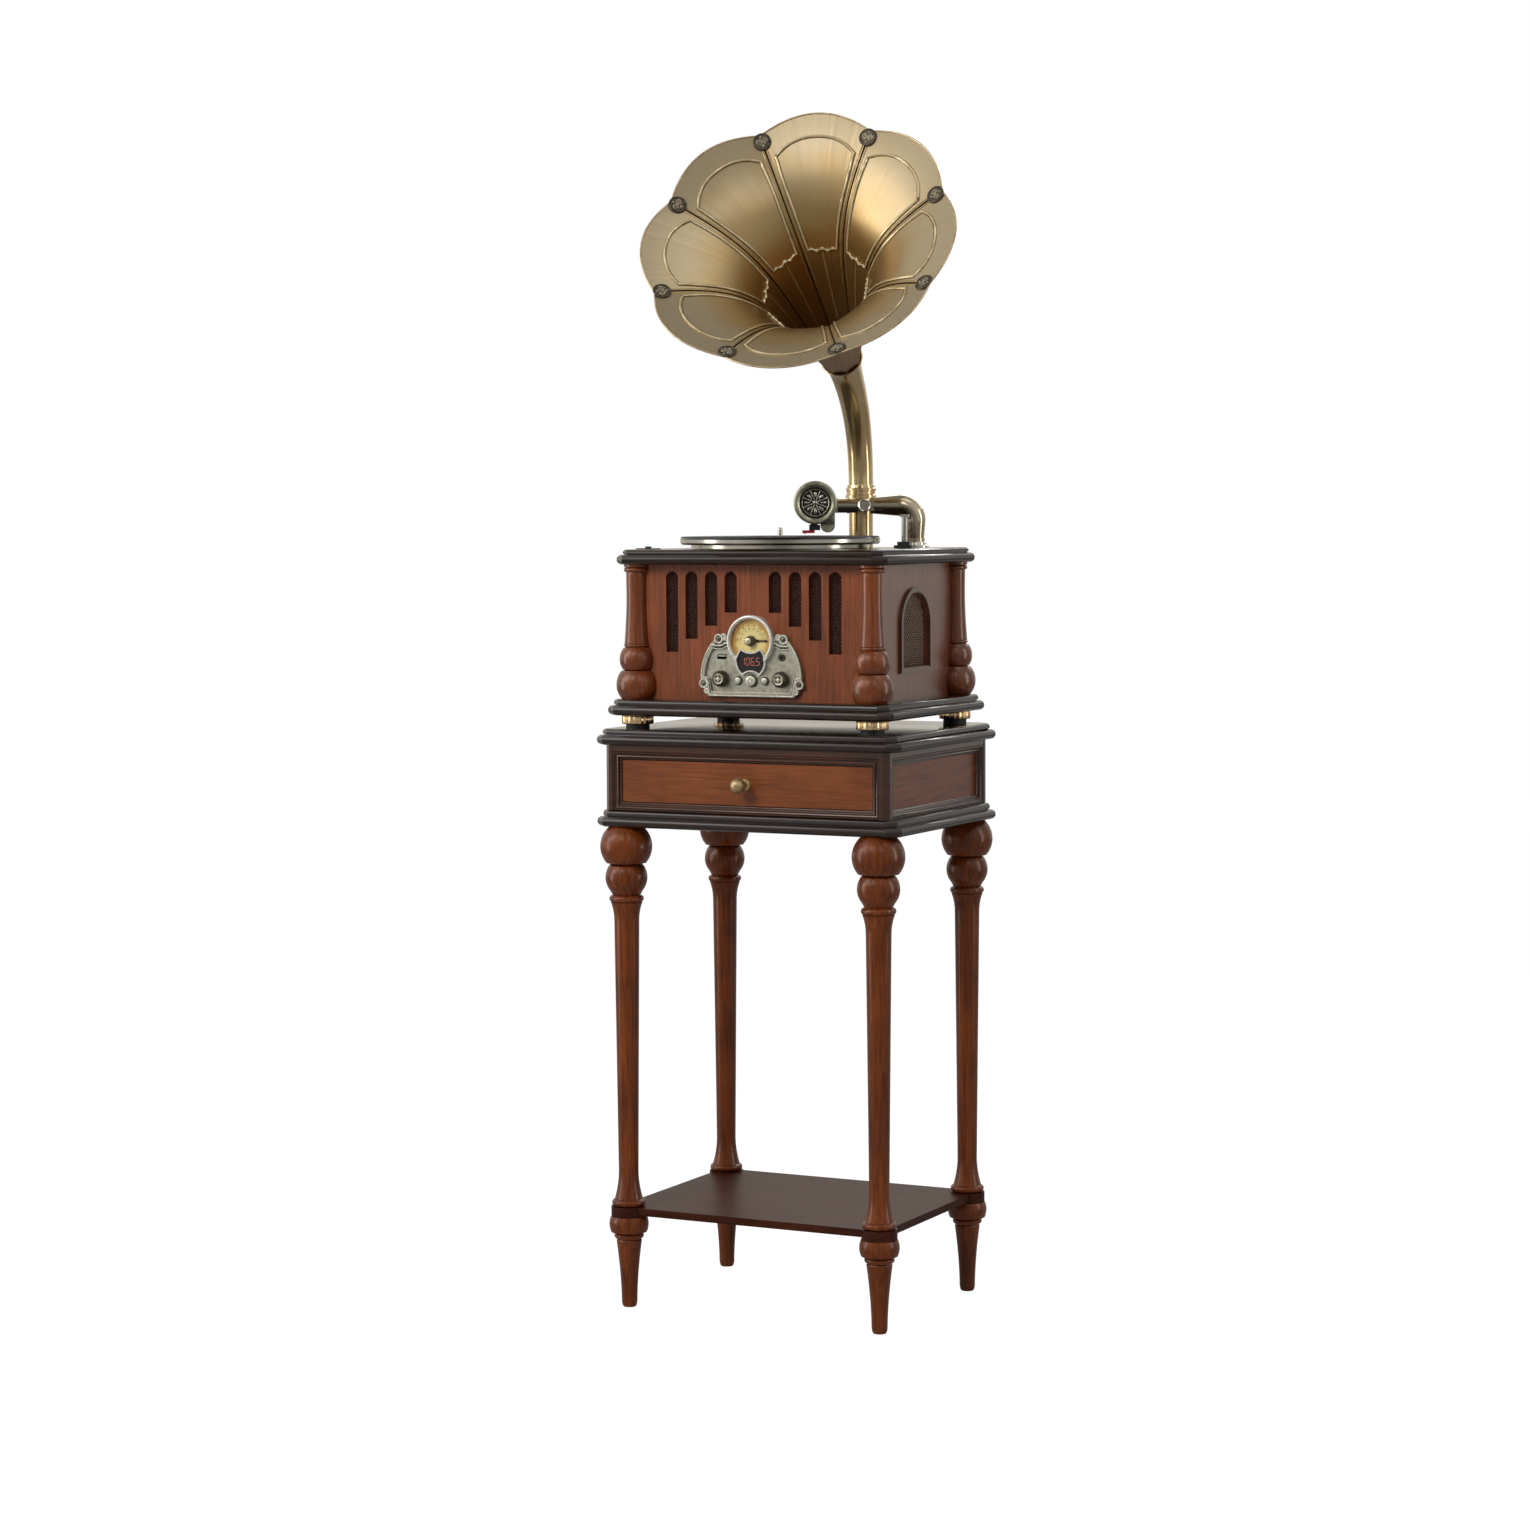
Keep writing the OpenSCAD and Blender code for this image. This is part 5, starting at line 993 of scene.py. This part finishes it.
class RP_OT_dial(bpy.types.Operator):
    """Dial face with its scale, and the lit digits of the display"""

    bl_idname = "record_player.dial"
    bl_label = "Dial and Display"

    def execute(self, context):
        # Printed card behind the bezel, darker and browner towards its edge
        card, tree, shader, place = new_finish("dial_card_darker_at_edge", Roughness=0.5,
                                               Coat_Weight=0.6, Coat_Roughness=0.05)
        middle = tuple(on_front(0, DIAL_Z, 4.5).translation * MM)
        centre = node(tree, "VectorMath", place, middle, operation="DISTANCE")
        fade = node(tree, "MapRange", centre, From_Min=0.008, From_Max=0.033)
        mottle = node(tree, "TexNoise", place, Scale=120.0, Detail=4.0)
        mixed = node(tree, "Math", mottle, 0.45, fade, operation="MULTIPLY_ADD")
        tone = node(tree, "ValToRGB", mixed,
                    stops=[(0.25, "#F4E096"), (0.75, settings().dial), (1.0, "#BE8F42")])
        feed(shader, {"Base Color": tone})
        keep(card, "dial_face")

        mesh = bmesh.new()
        seat = on_front(0, DIAL_Z, 4.55)
        outer, thick = 25.6, 0.08
        for i, a in enumerate(map(math.radians, spread(188, -8, 40))):
            long = 2.6 if i % 5 == 0 else 1.5
            block(mesh, (outer - long, -0.18, 0), (outer, 0.18, thick), seat @ spun(a))
        ends = [math.radians(a) for a in spread(190, -10, 60)]
        for a0, a1 in zip(ends, ends[1:]):
            for r in (26.2, 19.4):
                span = 2 * r * math.sin((a0 - a1) / 2) + 0.05
                block(mesh, (r - 0.12, -span / 2, 0), (r + 0.12, span / 2, thick),
                      seat @ spun((a0 + a1) / 2))
        for size, r, first, last, scale in ((3.6, 22.0, 176, 4, "88 90 92 94 96 100 104 108"),
                                            (3.0, 16.6, 170, 10, "54 60 70 80 100 120 140 160")):
            for text, a in zip(scale.split(), map(math.radians, spread(first, last, 7))):
                figure(mesh, text, size, seat @ moved(r * math.cos(a), r * math.sin(a), 0.05)
                       @ spun(a - math.pi / 2))
        finish_piece(mesh, "dial_scale", plain("brown_dial_ink", "#4A2E16", 0.6), "frame")

        # Each bar of a digit: its left or lower end, and whether it lies level
        w, h, t, low, out, gap = 4.7, 10.4, 0.58, 51.1, 5.52, 0.5
        bars = {"a": (0, h, 1), "g": (0, h / 2, 1), "d": (0, 0, 1), "f": (0, h / 2, 0),
                "b": (w, h / 2, 0), "e": (0, 0, 0), "c": (w, 0, 0)}
        skew = Matrix(((1, 0.08, 0, 0), (0, 1, 0, 0), (0, 0, 1, 0), (0, 0, 0, 1)))
        mesh = bmesh.new()
        for lit, x in (("bc", -15.8), ("abcdef", -8.3), ("acdefg", -0.8), ("acdfg", 7.6)):
            for part in lit:
                bx, bz, level = bars[part]
                if level:
                    start, end = (bx + gap, bz - t / 2, 0), (bx + w - gap, bz + t / 2, 0.1)
                else:
                    start, end = (bx - t / 2, bz + gap, 0), (bx + t / 2, bz + h / 2 - gap, 0.1)
                block(mesh, start, end, on_front(x, low, out) @ skew, 0.04)
        turned(mesh, [(0, 0), (0.6, 0), (0.6, 0.1), (0, 0.1)], on_front(5.8, low + 0.2, out), 12)
        finish_piece(mesh, "display_digits", glow("lit_orange_segments", "#D56D52", 0.55), "frame")
        return {"FINISHED"}


class RP_OT_turntable(bpy.types.Operator):
    """Ribbed rubber mat of the turntable"""

    bl_idname = "record_player.turntable"
    bl_label = "Turntable Mat"

    def execute(self, context):
        hole, edge, thick, seat = 4.05, 142.2, 1.5, (-15, -24, 1113.0)
        outline = [(hole, 0), (edge, 0), (edge, 1.2), (141.8, thick)]
        r = 139.0
        while r > 52:
            outline += [(r, thick), (r - 0.5, 1.0), (r - 1.4, 1.0), (r - 1.9, thick)]
            r -= 4.0
        outline += [(50, thick), (49.5, 0.9), (6, 0.9), (5.5, thick), (hole, thick), (hole, 0)]
        mesh = bmesh.new()
        turned(mesh, outline, moved(*seat), 128)
        rubber = plain("ribbed_mat_rubber", "#121212", 0.5, 700.0, 0.15)
        finish_piece(mesh, "ribbed_mat", rubber, "turntable", "platter_mat", smooth=35)
        return {"FINISHED"}


class RP_OT_sound_box(bpy.types.Operator):
    """Sound box with its knurled ring and the leaf grille over the membrane"""

    bl_idname = "record_player.sound_box"
    bl_label = "Sound Box"

    def execute(self, context):
        # The arm's axis on the deck and its angle at rest, then the box at the arm's end
        post, turn, box = (135, 115, 0), math.radians(206.7), (145, 3.5, 1162.5)
        plate = moved(*post) @ spun(turn) @ moved(*box)
        upright = spun(-math.pi / 2, "X")
        seat = plate @ upright
        r, t = 31.5, 11.0
        mesh = bmesh.new()
        turned(mesh, [(0, 0), (r - 2, 0), (r - 0.6, 0.6), (r, 2), (r, 3.6), (r - 0.7, 4.2),
                      (r - 0.7, 6.6), (r, 7.2), (r, t - 2.2), (r - 0.8, t - 0.9),
                      (r - 2.4, t - 0.1), (r - 5, t), (r - 6.0, t - 0.6), (r - 7.6, t - 2.0),
                      (r - 8.4, t - 2.6), (r - 8.4, 4), (0, 4)], seat, 120)
        blocks_round(mesh, 90, (r - 4.6, -0.3, t - 0.5), (r - 2.2, 0.3, t - 0.02), seat)
        blocks_round(mesh, 72, (r - 1.0, -0.45, 4.2), (r - 0.1, 0.45, 6.6), seat, 0.15)
        # The holder of the cartridge hangs below, rounded at its foot
        foot = -33
        block(mesh, (-28.5, 0, foot), (-7.5, 3, -8), plate, 0.5)
        turned(mesh, [(0, 0), (10.5, 0), (10.5, 2.5), (10.0, 3), (0, 3)],
               plate @ moved(-18, 0, foot) @ upright, 40)
        dull = metal("dull_nickel_box", "#B5B29A", "#86836C", 0.32, 90.0, 0.15, 800.0, 0.75)
        finish_piece(mesh, "sound_box_body", dull, "head", "sound_box")
        mesh = bmesh.new()
        turned(mesh, [(0, 4.0), (r - 8.5, 4.0), (r - 8.5, 4.4), (0, 4.4)], seat, 60)
        finish_piece(mesh, "sound_box_membrane", plain("black_membrane", "#0D0C0B", 0.3), "head")
        mesh = bmesh.new()
        ring, leaves = 19.6, 8
        turned(mesh, [(ring - 1.5, 4.4), (ring - 1.3, 8.6), (ring, 9.8), (ring + 1.2, 8.6),
                      (ring + 1.5, 4.4), (ring - 1.5, 4.4)], seat, 72)
        turned(mesh, [(0, 5), (3.2, 5), (3.2, 8.2), (2.4, 9.2), (0, 9.4)], seat, 32)
        blocks_round(mesh, leaves, (2.6, -0.8, 6.2), (ring, 0.8, 7.8), seat, 0.25, 0.5)
        for i in range(leaves):
            before = set(mesh.verts)
            made = bmesh.ops.create_uvsphere(mesh, u_segments=14, v_segments=8, radius=1.0)["verts"]
            bmesh.ops.scale(mesh, vec=(4.4, 2.0, 0.9), verts=made)
            for vert in made:
                vert.co.y *= 1.0 + 0.1 * vert.co.x
            placed(mesh, before, seat @ spun(i * 2 * math.pi / leaves) @ moved(11.6, 0, 6.9))
        bright = metal("bright_leaf_nickel", "#D8D3C4", "#A49F8C", 0.2, 120.0)
        finish_piece(mesh, "sound_box_leaves", bright, "head", smooth=50)
        return {"FINISHED"}


OPERATORS = (RP_OT_stage, RP_OT_wood, RP_OT_fittings, RP_OT_horn, RP_OT_rosettes, RP_OT_elbow,
             RP_OT_foot_rings, RP_OT_grilles, RP_OT_controls, RP_OT_dial, RP_OT_turntable,
             RP_OT_sound_box)


class RP_PT_panel(bpy.types.Panel):
    """Lists the colours, the sizes and the pieces of the record player"""

    bl_idname = "RP_PT_panel"
    bl_label = "Record Player"
    bl_space_type = "VIEW_3D"
    bl_region_type = "UI"
    bl_category = "Record Player"

    def draw(self, context):
        look = settings()
        for key in ("wood_light", "wood_dark", "board", "horn_rim", "horn_deep_shade", "dial", "wire",
                    "pitch", "horn_steps"):
            self.layout.prop(look, key)
        for operator in OPERATORS:
            self.layout.operator(operator.bl_idname)


CLASSES = (Colours, *OPERATORS, RP_PT_panel)


def register():
    for kind in CLASSES:
        bpy.utils.register_class(kind)
    bpy.types.Scene.record_player = PointerProperty(type=Colours)


def unregister():
    del bpy.types.Scene.record_player
    for kind in reversed(CLASSES):
        bpy.utils.unregister_class(kind)


def main():
    register()
    for operator in OPERATORS:
        group, name = operator.bl_idname.split(".")
        getattr(getattr(bpy.ops, group), name)()


if __name__ == "__main__":
    main()
